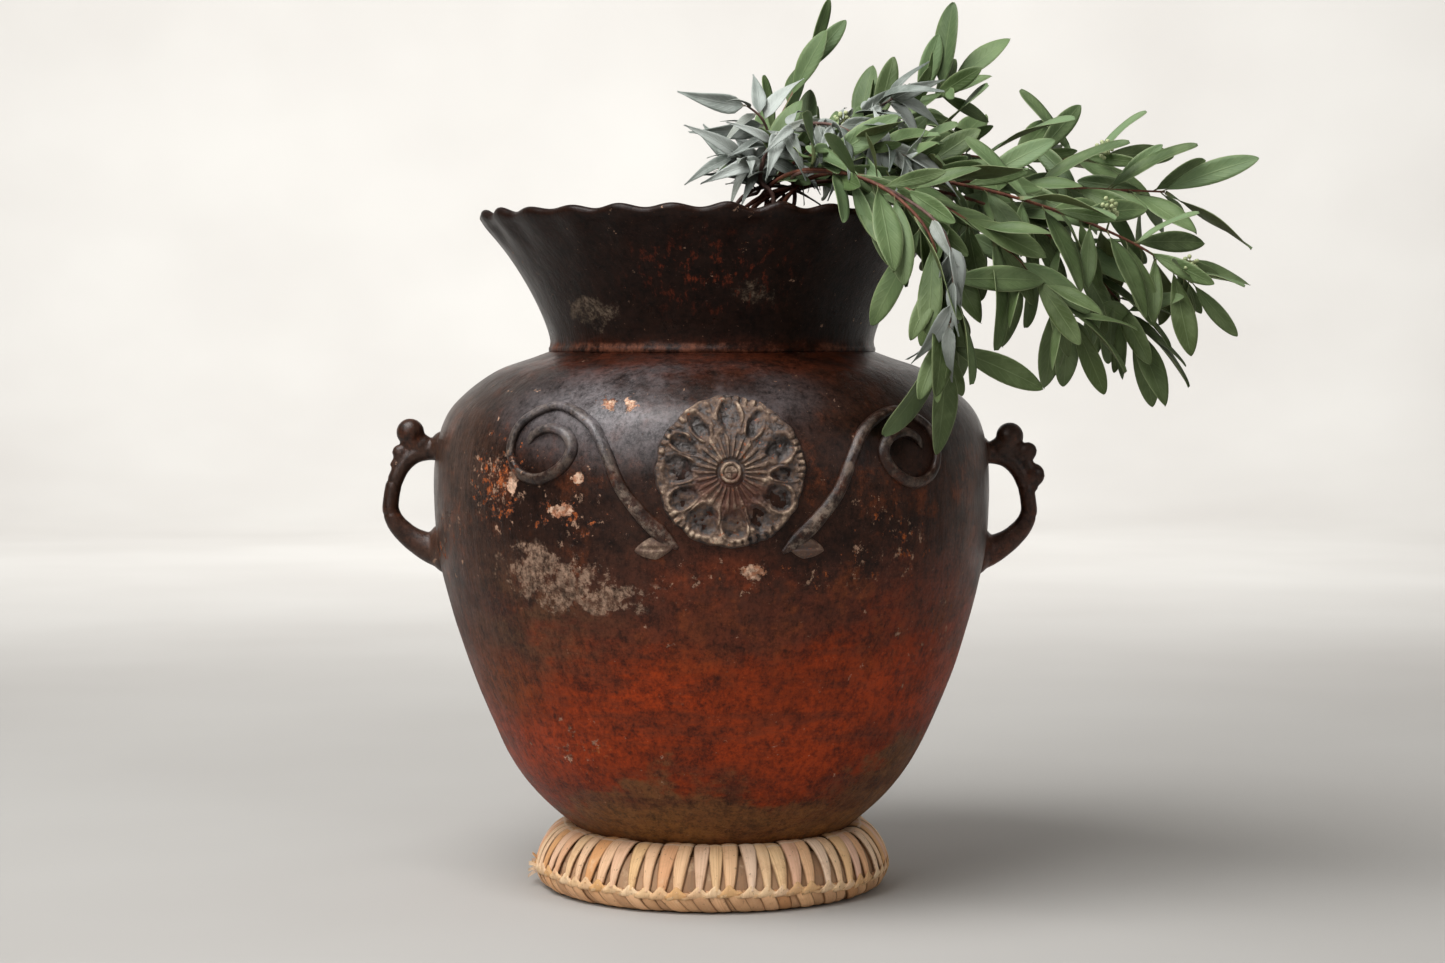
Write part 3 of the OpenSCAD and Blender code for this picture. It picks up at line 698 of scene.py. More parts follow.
def neck_piece(material):
    """The flaring neck with the ridge over its seam and the lip pressed into waves."""
    def move(grid, angle):
        z = grid[..., 2]
        wave = np.cos(WAVES * angle + 0.35 * np.sin(3 * angle))
        keen = smooth(z, RIM_Z - 46, RIM_Z - 5) ** 1.5
        size = 1 + 0.3 * np.sin(4 * angle + 1) + 0.2 * np.sin(9 * angle)
        rise = smooth(z, RIM_Z - 14, RIM_Z - 2) * WAVE_H * wave * size
        swell = 0.5 * np.sin(2 * angle + 0.4) + 0.35 * np.sin(5 * angle + 2)
        free = smooth(z, SEAM_Z, SEAM_Z + 40)
        grid = pushed(grid, angle, keen * 1.5 * wave * size + swell * free)
        ridge = smooth(np.abs(z - SEAM_Z - 1), 9, 3)
        lumpy = 0.5 * np.sin(13 * angle) + 0.4 * np.sin(29 * angle + 1) + 0.3 * np.sin(7 * angle)
        grid = pushed(grid, angle, ridge * 0.5 * lumpy)
        grid[..., 2] += rise
        return grid

    shape = lathe(neck_outline(), WAVES * 16, move)
    return mesh_piece("jar_neck", shape, "jar", material,
                      ["neck_collar", "neck_seam_coil", "fluted_rim"])


# ---- handles ----

def handle_piece(side, material):
    """A loop handle with its knob and comb, run together as wet clay. side is -1 or 1."""
    share = np.linspace(0, 1, 61)
    x, z, r = spline(HANDLE, share).T
    flat = np.zeros_like(x)
    roll = tube(np.stack([x, flat, z], -1), r, 20)
    web_at = spline(HANDLE, np.linspace(0.16, 0.46 if side > 0 else 0.36, 12))
    step = unit(np.gradient(web_at[:, :2], axis=0))
    edge = web_at[:, :2] + (web_at[:, 2:] - 0.4) * np.stack([-step[:, 1], step[:, 0]], -1)
    web = tube(np.stack([edge[:, 0], 0 * edge[:, 0], edge[:, 1]], -1), 3.4, 12)
    knob = [
        ball((240.4, 0, 358.8), (11.2, 10, 11), 20), ball((237.4, 0, 352), (10, 7.8, 9.6)),
        ball((231.6, 0, 348), (9.8, 8, 9.4)),
    ]
    lobes = [
        ball((254, 0, 345.4), (9.2, 6, 8), -40), ball((258.6, 0, 327.2), (10.6, 6.2, 10), 5),
        ball((248.4, 0, 343), (7.6, 6, 8), -35), ball((253.8, 0, 335.5), (6.6, 5.8, 8), -20),
    ]
    if side < 0:
        lobes = [ball((247, 0, 341.6), (8.6, 5.4, 6.8), -35)]
    feet = [ball((214, 0, 347), (11, 15, 13)), ball((212, 0, 266), (15, 20, 21), 12)]
    points, faces = fused([roll, web] + knob + lobes + feet, 1.3, 6)
    points = points + 0.22 * rough(points, 13, 3)[:, None] * unit(points - [236, 0, 310])
    if side < 0:
        points = points * [-1, 1, 1] + [0, 0, LEFT_UP]
    which = SIDE[side]
    return mesh_piece("jar_handle_" + which, (points, faces), "jar", material,
                      ["handle_" + which, "crest_" + which])


# ---- relief on the front ----

def relief_shape(centre_x, centre_z, reach, lift, rings=100, spokes=480):
    """A low relief on the wall: reach(angle) is its outline and lift(share, angle) its height."""
    share = np.concatenate([[0.004], np.linspace(0.012, 1, rings)])
    angle = np.arange(spokes) * tau / spokes
    s, a = np.meshgrid(share, angle, indexing="ij")
    r = s * reach(a)
    top = lift(s, a)
    z = centre_z + r * np.sin(a)
    across = centre_x + r * np.cos(a)

    def on_wall(height, keep):
        radius = body_radius(z[keep])
        return wall(np.arcsin(np.clip(across[keep] / radius, -1, 1)), z[keep], height)

    every = on_wall(top, slice(None))
    under = on_wall(-1.4, slice(None, None, -12))
    return rings_shape(np.concatenate([every, under])), s, a, top, len(under)


def rosette_lift(share, angle):
    """Height of the rosette over the wall: button, ring, rays, scooped petals, notched edge."""
    r = share * ROSETTE_R
    turn = angle + 0.05 * np.sin(5 * angle) + 0.04 * np.sin(11 * angle + 1)
    bend = 0.5 * np.sin(3 * angle + 0.8) + 0.4 * np.sin(7 * angle)
    base = 3.1 + 0.4 * bend
    button = 1.7 * smooth(r, 5.4, 4.2)
    ring = 2.6 * smooth(np.abs(r - 6.6), 1.7, 0.5)
    moat = -1.3 * smooth(np.abs(r - 9.4), 2, 0.5)
    ray_wave = np.cos(RAYS * angle + 0.5 * np.sin(4 * angle))
    ray_end = 26.5 + 2.5 * bend + 1.5 * np.sin(19 * angle)
    rays = smooth(ray_wave, -0.5, 0.8) * smooth(r, 9.8, 12) * smooth(r, ray_end + 2.5, ray_end - 2)
    number = PETALS * turn / tau + 0.12 * np.sin(2 * angle + 1)
    aside = (number - np.round(number)) * tau / PETALS * r
    which = np.round(number) % PETALS
    wide = (8.1 + 0.8 * np.sin(2.4 * which)) * (0.75 + 0.25 * smooth(r, 28, 42))
    middle = 38.6 + 0.9 * np.sin(1.7 * which + 1)
    oval = ((np.abs(aside) / wide) ** 2.6 + (np.abs(r - middle) / 10.6) ** 2.6) ** (1 / 2.6)
    scoop = smooth(oval, 1.1, 0.6)
    lip = smooth(np.abs(oval - 1.14), 0.22, 0.02) * smooth(r, 26, 31)
    lip = lip * (0.7 + 0.5 * np.sin(3.1 * which + r / 4))
    edge = smooth(r, 47.5, 51) * (1 + 0.4 * bend)
    groups = smooth(np.sin(5 * angle + 0.9) + 0.5 * np.sin(3 * angle), -0.3, 0.3)
    comb = smooth(np.cos(60 * angle + 3 * np.sin(3 * angle)), 0.0, 0.8)
    combed = smooth(r, 48.5, 50.5) * groups
    lift = base + button + ring + moat + 1.5 * rays + 1.7 * lip - 2.7 * scoop
    lift += 1.0 * edge - 1.9 * comb * combed
    return np.where(share > 0.999, -0.8, lift * smooth(r, ROSETTE_R + 0.2, ROSETTE_R - 2.8))


def rosette_piece(material):
    def reach(angle):
        wavy = 0.5 * np.sin(12 * angle + 1) + 0.5 * np.sin(5 * angle) + 0.4 * np.sin(23 * angle)
        return ROSETTE_R - 0.9 + 0.9 * wavy

    shape, s, a, top, under = relief_shape(0, ROSETTE_Z, reach, rosette_lift)
    points = shape[0]
    across = points - [0, 0, ROSETTE_Z]
    far = np.hypot(across[:, 0], across[:, 2])
    chipped = (0.3 + 1.0 * smooth(far, 14, 30)) * smooth(far, 58, 54) * rough(points, 5.5, 5)
    points[:, 1] -= np.where(np.arange(len(points)) < top.size, chipped, 0)
    high = smooth(top, 1.2, 6.4)
    redder = smooth(np.sin(a), 0.35, -0.5) * smooth(s, 0.8, 0.4)
    tail = np.zeros(under * top.shape[1])
    high = high + 0.4 * chipped[:top.size].reshape(top.shape)
    values = {"high": np.append(high.ravel(), tail), "redder": np.append(redder.ravel(), tail)}
    replaced = ["rosette_disc", "rosette_edge", "rosette_petals", "rosette_rays", "rosette_centre"]
    return mesh_piece("rosette", shape, "jar", material, replaced, values=values)


def scroll_piece(side, material):
    """A clay roll laid on the wall: a tail that widens to a point at its foot, and a coil.

    The roll leans in over the middle of its coil, and painted shade darkens its undercut side
    there. It's dusty on its crown.
    """
    share = np.linspace(0, 1, 181)
    angle, z = spline(SCROLL, share).T
    angle = np.radians(angle) * side
    z = z - (RIGHT_DOWN if side > 0 else 0)
    wide = 4.3 + 1.5 * smooth(share, 0.24, 0.06) - 0.5 * smooth(share, 0.8, 1)
    wide = wide * (0.2 + 0.8 * smooth(share, -0.01, 0.06)) * smooth(share, 1.02, 0.95)
    tall = (5.0 - 1.4 * smooth(share, 0.25, 0)) * (0.3 + 0.7 * smooth(share, -0.01, 0.06))
    tall = tall * (0.1 + 0.9 * smooth(share, 1.01, 0.9))
    spine = wall(angle, z, 0)
    out = unit(wall(angle, z, 5) - spine)
    across = unit(np.cross(np.gradient(spine, axis=0), out))
    turn = np.arange(16) * tau / 16
    c, s = np.cos(turn), np.sin(turn)
    up = np.where(s > 0, s, 0.35 * s)
    inward = c * side + 0.4 * np.maximum(s, 0)
    ring = (spine[:, None] + (wide[:, None] * inward * side)[..., None] * across[:, None]
            + (tall[:, None] * up)[..., None] * out[:, None])
    ring = ring + 0.22 * rough(ring, 9, 3)[..., None] * out[:, None]
    crown = smooth(s, 0.1, 0.8)[None, :] * (0.3 + 0.4 * smooth(share, 0.3, 0.1))[:, None]
    # Painted shade on the roll's undercut side, under its lean over the coil
    inner = smooth(c * side, 0.3, 0.85) * smooth(s, 0.75, 0.2)
    under = np.tile(inner, (len(share), 1))
    which = SIDE[side]
    return mesh_piece("scroll_on_" + which, rings_shape(ring), "jar", material,
                      ["scroll_" + which], values={"dusty": crown.ravel(), "undercut_shade": under.ravel()})


def scroll_leaf_piece(side, material):
    """The almond-shaped leaf at a scroll's foot, with a groove along its middle."""
    which = SIDE[side]
    low, high = span("scroll_leaf_" + which)
    half_w, half_h = (high[0] - low[0]) / 2, (high[2] - low[2]) / 2

    def reach(angle):
        tilted = angle + radians(9) * side
        c, s = np.abs(np.cos(tilted)), np.abs(np.sin(tilted))
        return 1 / (c**1.35 / half_w**1.35 + s**1.35 / half_h**1.35) ** (1 / 1.35)

    def lift(share, angle):
        height = share * reach(angle) * np.sin(angle)
        groove = smooth(np.abs(height), 2.2, 0.5) * smooth(share, 0.9, 0.6)
        return np.where(share > 0.99, -0.6, 3.1 * np.sqrt(1 - 0.97 * share**3) - 0.9 * groove)

    centre = (low + high) / 2
    shape, *rest = relief_shape(centre[0], centre[2], reach, lift, 24, 96)
    values = {"high": np.full(len(shape[0]), 0.6), "redder": np.full(len(shape[0]), 0.35)}
    return mesh_piece("scroll_foot_" + which, shape, "jar", material,
                      ["scroll_leaf_" + which], values=values)


# ---- palm ring ----

def palm(name, colours, streak=0.5, edge_shade=0.65, fold_light_and_shade=0.0):
    """Dry palm leaf: each strip has its own colour, with fibres along it, darker edges that are
    painted shade along the gaps between strips, and a painted highlight and shade at the fold.
    """
    p = Paint(name)
    own, along, across = p.value("own"), p.value("along"), p.value("across")
    spots = len(colours) - 1
    colour = p.ramp(own, [(i / spots, srgb(*c)) for i, c in enumerate(colours)])
    lines = p.node("ShaderNodeCombineXYZ", {0: across * 7.0, 1: along * 0.8, 2: own
                                            * 40.0}).outputs[0]
    fibre = p.cloud(lines, 5.0, 0.7)
    blotch = p.noise(14, 5, 0.65, shift=3.7)
    colour = p.mix(p.step(fibre, 0.42, 0.72, 0.0, streak), colour, srgb(196, 144, 98))
    colour = p.mix(p.step(blotch, 0.5, 0.72, 0.0, 0.45), colour, srgb(196, 146, 106))
    colour = p.mix(p.step(blotch, 0.28, 0.44, 0.4, 0.0), colour, srgb(244, 214, 176))
    # Painted shade: the strip's edges darken where the gaps between strips are shadowed
    edge = p.step(p.math("ABSOLUTE", across), 0.72, 1.0, 0.0, edge_shade)
    colour = p.mix(edge, colour, srgb(136, 92, 56))
    # Painted highlight along the fold over the ring's top, and painted shade on the strip's inner
    # part, towards the jar
    bent = along + (own * -0.08 + blotch * -0.1)
    fold = p.step(p.math("ABSOLUTE", bent - 0.24), 0.004, 0.03, fold_light_and_shade, 0.0)
    colour = p.mix(fold, colour, srgb(250, 226, 198))
    shade = p.step(bent, 0.3, 0.2) * fold_light_and_shade
    colour = p.mix(shade * 0.5, colour, srgb(176, 136, 100))
    fleck = p.step(p.noise(2.4, 3, 0.6, (1, 1, 0.6), 8.8), 0.64, 0.7, 0.0, 0.5)
    colour = p.mix(fleck, colour, srgb(112, 80, 54))
    relief = fibre * 0.8 + p.noise(1.6, 3, 0.6) * 0.25
    return p.finish(colour, 0.68, p.bump(relief, 0.5), Specular_IOR_Level=0.3)


def round_ring(r, z, angle):
    """Points at distances from the ring's axis, heights and angles from the front."""
    r, z, angle = np.broadcast_arrays(r, z, angle)
    return np.stack([r * np.sin(angle), -r * np.cos(angle), z], -1)


def palm_strip(section, angle, width, bow, columns=7):
    """One strip laid over the ring's section of (r, z), with an angle and width at each row."""
    section = np.asarray(section, float)
    step = unit(np.gradient(section, axis=0))
    u = np.linspace(-1, 1, columns)[None, :]
    rise = np.asarray(bow, float)[:, None] * (1 - u * u)
    r = section[:, :1] - step[:, 1:] * rise
    z = section[:, 1:] + step[:, :1] * rise
    turn = np.asarray(angle, float)[:, None] + u * np.asarray(width, float)[:, None] / 2 / r
    return round_ring(r, z, turn)


def strips_piece(name, sheets, thickness, material, replaced):
    shape, values = sheets_shape(sheets, thickness, [hashed(i, 3) for i in range(len(sheets))])
    return mesh_piece(name, shape, "ring_stand", material, replaced, values=values)


def strip_angle(i, k=0):
    return tau * (i + 0.5) / STRIPS + 0.03 * (hashed(i, 40 + k) - 0.5)


def braid_wave(angle):
    """How far the braid strays up or down round the ring."""
    return 0.9 * np.sin(5 * angle + 0.6) + 0.6 * np.sin(11 * angle + 2)


def upper_strips(material):
    """Folded strips from under the jar, over the ring's top and down to a waist at the braid."""
    top = [(103, 45.5), (109, 47.8), (115, 49.2), (121, 48.2), (128, 43.4), (134, 35.6),
           (137.5, 28), (139.2, BRAID_Z + 4), (140.2, BRAID_Z + 0.5)]
    t = np.linspace(0, 1, 19)
    sheets = []
    for i in range(STRIPS):
        own = hashed(i, 11)
        section = spline(top, t)
        section[:, 0] += 0.7 * (hashed(i, 12) - 0.5) + 1.4 * (hashed(i, 16) - 0.5) * (1 - t)
        section[:, 1] += 1.9 * (hashed(i, 13) - 0.5) * (1 - t)
        width = (10.8 + 3.4 * own) * (0.86 + 0.14 * np.sin(pi * t))
        width *= 1 - (0.44 + 0.2 * hashed(i, 14)) * np.clip((t - 0.45) / 0.5, 0, 1)
        section[:, 1] += braid_wave(strip_angle(i)) * smooth(t, 0.6, 0.95)
        lean = 0.07 * (hashed(i, 15) - 0.5) + 0.02
        angle = strip_angle(i) + lean * (0.8 - t)
        bow = 0.9 + 1.3 * smooth(t, 0.5, 0.95)
        sheets.append(palm_strip(section, angle, width, bow))
    return strips_piece("ring_top_strips", sheets, STRIP_T, material, ["ring_upper_strips"])


def under_strips(material):
    """The strips beneath, which show as grey triangles between the waists."""
    below = [(125, 42), (131, 36), (134.6, 29), (137, 22), (138.6, BRAID_Z - 2)]
    t = np.linspace(0, 1, 8)
    sheets = []
    for i in range(STRIPS):
        section = spline(below, t) + [0.6 * (hashed(i, 22) - 0.5), 0]
        angle = strip_angle(i, 7) + pi / STRIPS + 0 * t
        sheets.append(palm_strip(section, angle, 13.6 + hashed(i, 21) + 0 * t, 0.5 + 0 * t))
    return strips_piece("ring_under_strips", sheets, STRIP_T, material, [])


def lower_strips(material):
    """Slanted strips from the braid down to where they turn under the ring."""
    down = [(139.6, BRAID_Z + 1), (140, 13), (139, 9), (136.6, 5.4), (132.6, 2.6), (127, 1.9)]
    t = np.linspace(0, 1, 11)
    sheets = []
    for i in range(2 * STRIPS):
        behind = i >= STRIPS
        lean = 0.09 + 0.05 * (hashed(i, 31) - 0.5)
        section = spline(down, t) + [0.9 * (hashed(i, 32) - 0.5) - 0.9 * (i % 2) - 1.6 * behind, 0]
        section[:, 1] += braid_wave(strip_angle(i)) * smooth(t, 0.4, 0)
        width = 12.2 + 3.0 * hashed(i, 33) - 1.2 * t
        angle = strip_angle(i, 9) + (pi / STRIPS) * behind + lean * t
        sheets.append(palm_strip(section, angle, width, 0.9 + 0 * t))
    return strips_piece("ring_foot_strips", sheets, STRIP_T, material, ["ring_lower_strips"])


def braid(material):
    """The edge: each strip is nipped into a peak and turned sideways under the next one."""
    pitch = tau / STRIPS
    sheets = []
    for i in range(STRIPS):
        u = np.linspace(-1, 1, 17)[None, :]
        v = np.linspace(0, 1, 7)[:, None]
        peak = 5.0 + 1.8 * hashed(i, 51)
        high = BRAID_Z - 0.4 + peak * np.exp(-((u + 0.1) / 0.46) ** 2) + 0.5 * u
        low = BRAID_Z - 3.0 - 0.9 * (1 - u * u) + 1.1 * u
        z = low + (high - low) * v + braid_wave(strip_angle(i))
        out = 2.0 * np.sin(pi * (0.1 + 0.72 * v)) * (1 - 0.5 * u * u) - 0.8 * u
        r = RING_R - 0.6 + out + 0.5 * (hashed(i, 52) - 0.5) + 0 * z
        reach = (0.68 + 0.1 * hashed(i, 53)) * pitch
        sheets.append(round_ring(r, z, strip_angle(i) + reach * u + 0 * v))
    turns = np.linspace(0, tau, STRIPS * 16 + 1)
    spin = turns * STRIPS
    rope_r = RING_R - 0.2 + 0.8 * np.cos(spin)
    rope = round_ring(rope_r, BRAID_Z - 2.7 + 0.7 * np.sin(spin) + braid_wave(turns), turns)
    lean = np.linspace(-1, 1, 5)[None, :]
    ribbon = rope[:, None] + lean[..., None] * np.stack(
        [0.5 * np.sin(turns), -0.5 * np.cos(turns), 1.0 + 0.2 * np.cos(spin)], -1)[:, None]
    sheets.append(ribbon)
    return strips_piece("ring_edge_braid", sheets, 0.6, material, ["ring_braid"])


def tuft(material):
    """The frayed ends at the left, where the braid was tied off."""
    low, high = span("ring_tuft")
    left, middle = low[0] + 7, (low[1] + high[1]) / 2
    sheets = []
    for i in range(17):
        t = np.linspace(0, 1, 9)
        start = np.array([left, middle + 1.7 * (i - 8), BRAID_Z - 5 + 6 * hashed(i, 67)])
        away = np.array([4 * hashed(i, 61) - 9, 12 * hashed(i, 62) - 6, 17 * hashed(i, 63) - 4])
        curl = np.array([-2.2 * hashed(i, 64), 5 * (hashed(i, 65) - 0.5), -2.5])
        path = start + t[:, None] * away + (t**2)[:, None] * curl
        side = np.linspace(-1, 1, 5)[None, :, None] * np.array([0.25, 1, 0.15])
        wide = (0.5 + 1.3 * hashed(i, 66)) * (1 - 0.75 * t**2)
        sheets.append(path[:, None] + wide[:, None, None] * side)
    return strips_piece("ring_frayed_ends", sheets, 0.3, material, ["ring_tuft"])


def make_ring():
    tan = [(244, 194, 150), (254, 218, 180), (246, 204, 150), (255, 226, 198), (238, 182, 138),
           (252, 208, 162), (246, 202, 176), (232, 168, 108), (254, 218, 168)]
    grey = [(174, 138, 106), (194, 156, 122), (154, 120, 92), (184, 142, 104)]
    foot = [(214, 166, 122), (238, 190, 146), (192, 148, 110), (246, 198, 150), (204, 148, 100)]
    pale = [(236, 196, 148), (252, 220, 180), (228, 176, 116), (246, 210, 172)]
    upper_strips(palm("palm_top", tan, fold_light_and_shade=0.7))
    under_strips(palm("palm_under", grey, 0.4))
    lower_strips(palm("palm_foot", foot, edge_shade=0.8))
    braid(palm("palm_braid", pale, 0.4, edge_shade=0.4))
    tuft(palm("palm_frayed", pale, 0.2, edge_shade=0.1))
    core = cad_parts["ring_core"]
    core.data.materials.clear()
    core.data.materials.append(coiled_core())


def coiled_core():
    """The dark bundle of palm fibre inside the ring, seen only through its gaps."""
    p = Paint("palm_core_fibre")
    fibre = p.noise(3, 5, 0.7, (0.4, 0.4, 3))
    colour = p.ramp(fibre, [(0.3, srgb(62, 44, 30)), (0.5, srgb(104, 78, 54)),
                            (0.7, srgb(138, 106, 74))])
    return p.finish(colour, 0.85, p.bump(fibre, 1.0), Specular_IOR_Level=0.2)


# ---- spray ----

# Name, narrow leaves or not, leaves, bare share of the route past the mouth, leaf length,
# spread, droop, and the route past the mouth
SPRIGS = [
    ("crown", False, 8, 0.2, 58, 0.5, -0.35,
     [(34, -66, 570), (46, -56, 600), (60, -50, 628), (74, -46, 656)]),
    ("back", False, 18, 0.15, 62, 0.8, -0.1,
     [(65, -40, 570), (115, -30, 595), (160, -20, 618), (186, -20, 636)]),
    ("top", False, 22, 0.12, 70, 0.85, 0.05,
     [(100, -20, 570), (175, 0, 585), (250, 10, 580), (318, 20, 586)]),
    ("middle", False, 26, 0.12, 70, 0.85, 0.3,
     [(95, -60, 560), (180, -60, 560), (275, -60, 555), (352, -60, 552)]),
    ("long", False, 28, 0.12, 70, 0.85, 0.45,
     [(90, -110, 558), (170, -130, 555), (250, -130, 535), (318, -120, 508), (362, -112, 480)]),
    ("front", False, 20, 0.2, 72, 0.7, 0.7,
     [(75, -140, 560), (130, -180, 548), (185, -190, 518), (230, -180, 482), (258, -175, 452)]),
    ("hanging", False, 20, 0.22, 74, 0.6, 0.8,
     [(55, -140, 562), (105, -190, 552), (142, -212, 518), (156, -214, 472), (158, -208, 430)]),
    ("lower", False, 24, 0.14, 72, 0.75, 0.7,
     [(95, -60, 558), (185, -75, 548), (258, -90, 515), (302, -90, 475), (322, -85, 448)]),
    ("short", False, 12, 0.15, 54, 0.8, 0.1,
     [(45, -100, 562), (80, -135, 578), (115, -150, 574)]),
    ("silver_left", True, 14, 0.3, 37, 0.9, 0.25,
     [(30, -95, 550), (26, -106, 566), (12, -112, 575)]),
    ("silver_arch", True, 26, 0.25, 39, 0.9, 0.5,
     [(30, -110, 560), (42, -125, 590), (75, -140, 598), (110, -150, 584), (135, -162, 572)]),
    ("silver_tall", True, 12, 0.3, 38, 0.9, 0.1,
     [(34, -86, 565), (38, -92, 588), (32, -102, 604), (20, -104, 614)]),
    ("silver_top", True, 16, 0.3, 40, 0.85, 0.2,
     [(45, -90, 560), (75, -95, 588), (108, -100, 606), (132, -100, 620)]),
    ("silver_low", True, 10, 0.55, 42, 0.6, 0.7,
     [(55, -140, 560), (102, -178, 554), (150, -222, 520), (160, -236, 476), (157, -236, 448)]),
]
FOOT, THROAT, MOUTH = (-25, 20, 300), (0, -30, 430), (30, -85, 532)
SEEDS = [("top", 0.99), ("top", 0.7), ("middle", 0.62), ("long", 0.8), ("long", 1), ("back", 0.6),
         ("silver_top", 0.75)]
BROAD, NARROW, STEM_R = 0.29, 0.28, 2.2
# How many more rounds of leaves fill in a sprig, where it isn't one
FILL = {"crown": 0, "silver_low": 0, "silver_tall": 0}
# How far forward the filled-in leaves may reach
FRONT = CAD_BOX[0][1] / MM


def stem_route(k):
    """Points of a sprig's stem, from inside the jar to its tip, by the CAD source's rule."""
    turn = radians(NEXT * k)
    o = 4.4 * math.sqrt(k + 0.5) * np.array([cos(turn), sin(turn), 0])
    return np.array([FOOT + o, THROAT + o, MOUTH + 1.6 * o, *SPRIGS[k][7]])


def blocked(at, d, length):
    """Would a leaf here be in the way when the jar's mouth has to let the spray out?"""
    for s in (0.4, 0.7, 1.05):
        p = at + d * length * s
        near = BELLY_R + 13 if p[2] < 430 else RIM_R + 16
        if p[2] < RIM_Z + 14 and math.hypot(p[0], p[1]) < near:
            return True
    return False


def leaf_frame(k, i, more=0):
    """Leaf i of sprig k: base, direction, direction of its width, and length.

    The CAD model's leaves have more = 0. Higher numbers are leaves that fill in between.
    """
    narrow, count, bare, size, fan, sag = SPRIGS[k][1:7]
    p = stem_route(k)
    m = len(p) - 1
    last = i == count - 1 and not more
    u = 1 if last else bare + (1 - bare) * (2 * (i // 2) + 0.6 + 0.5 * (i % 2)) / count
    u = min(u + 0.7 * more / count, 0.98) if more else u
    t = (2 + u * (m - 2)) / m
    at = spline(p, t)[0]
    ahead = unit(spline(p, min(t + 0.01, 1))[0] - spline(p, max(t - 0.01, 0))[0])
    side = unit(np.cross(ahead, [0, 0, 1]))
    rise = np.cross(side, ahead)
    phi = radians(97 * (i // 2) + 165 * (i % 2) + 50 * hashed(i, k))
    spread = 0 if last else fan * (0.8 + 0.5 * hashed(i, k + 31))
    droop = sag * (0.6 + 0.8 * hashed(i, k + 7)) + (0.3 if narrow else 0)
    d = unit(0.75 * ahead + spread * (cos(phi) * side + sin(phi) * rise) - [0, 0, droop])
    length = size * (0.78 + 0.4 * hashed(i, k + 13))
    if more:
        loose = np.array([hashed(j * i + 5 * k, 200 + more) - 0.5 for j in (1, 3, 7)])
        d = unit(0.4 * ahead + 1.9 * loose - [0, 0, 0.35 * droop])
        length *= 1 - 0.4 * hashed(i, k + 91)
        if at[1] + d[1] * length < FRONT:
            d = d * [1, -1, 1]
    if blocked(at, d, length):
        out = unit([d[0], d[1], 0.3 * abs(d[2]) + 0.25])
        d = unit([0.3 * out[0], 0.3 * out[1], 1]) if blocked(at, out, length) else out
    flat = unit(np.cross(d, unit([0.05, -0.85, 0.5])))
    twist = radians(130 * (hashed(i + 37 * more, k + 19) - 0.5))
    return at, d, flat * cos(twist) + np.cross(flat, d) * sin(twist), length


def leaf_sheet(k, i, more):
    """The upper side of one leaf: a short stalk, then a blade with a fold and a gentle wave."""
    at, d, w, length = leaf_frame(k, i, more)
    narrow = SPRIGS[k][1]
    j = i + 37 * more
    length = length * (1.12 if narrow else 1)
    width = length * (NARROW if narrow else BROAD) * (0.8 + 0.35 * hashed(j, k + 23) - 0.12 * more)
    n = np.cross(w, d)
    s = np.concatenate([[0, 0.04], 0.07 + 0.93 * np.sin(np.linspace(0, pi / 2, 15))])
    blade = np.clip((s - 0.06) / 0.94, 0, 1)
    peak = 0.55 if narrow else 1.25
    power = 1.0 if narrow else 0.6
    half = np.maximum(0.5 * width * np.sin(pi * blade**peak) ** power, 0.5)
    u = np.linspace(-1, 1, 7)[None, :]
    fold = (0.3 if narrow else 0.14) + 0.12 * hashed(j, k + 41)
    wave = 0.06 * width * np.sin(7 * s + 9 * hashed(j, k + 42))[:, None] * u
    bend = (0.48 if narrow else 0.1) + (0.4 if narrow else 0.16) * (hashed(j, k + 43) - 0.4)
    sway = 0.09 * length * (hashed(j, k + 44) - 0.5) * s * s
    across = u * half[:, None] + sway[:, None]
    up = fold * np.abs(u) * half[:, None] + wave - bend * length * (s * s)[:, None]
    start = at + 0.6 * d
    return (start + (d * length)[None, None, :] * s[:, None, None] + w * across[..., None]
            + n * up[..., None])


def leaves_piece(k, material):
    """All the leaves of a sprig. Each point knows its place on its leaf, for the material."""
    name, narrow, count = SPRIGS[k][:3]
    leaves = [(more, i) for more in range(FILL.get(name, 1) + 1) for i in range(count)]
    sheets = [leaf_sheet(k, i, more) for more, i in leaves]
    owns = [hashed(i + 61 * more, k + 50) for more, i in leaves]
    shape, values = sheets_shape(sheets, LEAF_T, owns)
    return mesh_piece(name + "_foliage", shape, "spray", material, [name + "_leaves"],
                      values=values)


def twig_piece(k, material):
    """A sprig's stem, swollen a little where leaves part from it."""
    name, count = SPRIGS[k][0], SPRIGS[k][2]
    t = np.linspace(0, 1, 91)
    path = spline(stem_route(k), t)
    radii = (STEM_R - 0.15) * (1 - 0.62 * t)
    radii = radii * (1 + 0.16 * np.maximum(0, np.cos(count * pi * t)) ** 6)
    return mesh_piece(name + "_twig", tube(path, radii, 10), "spray", material,
                      [name + "_stem"])


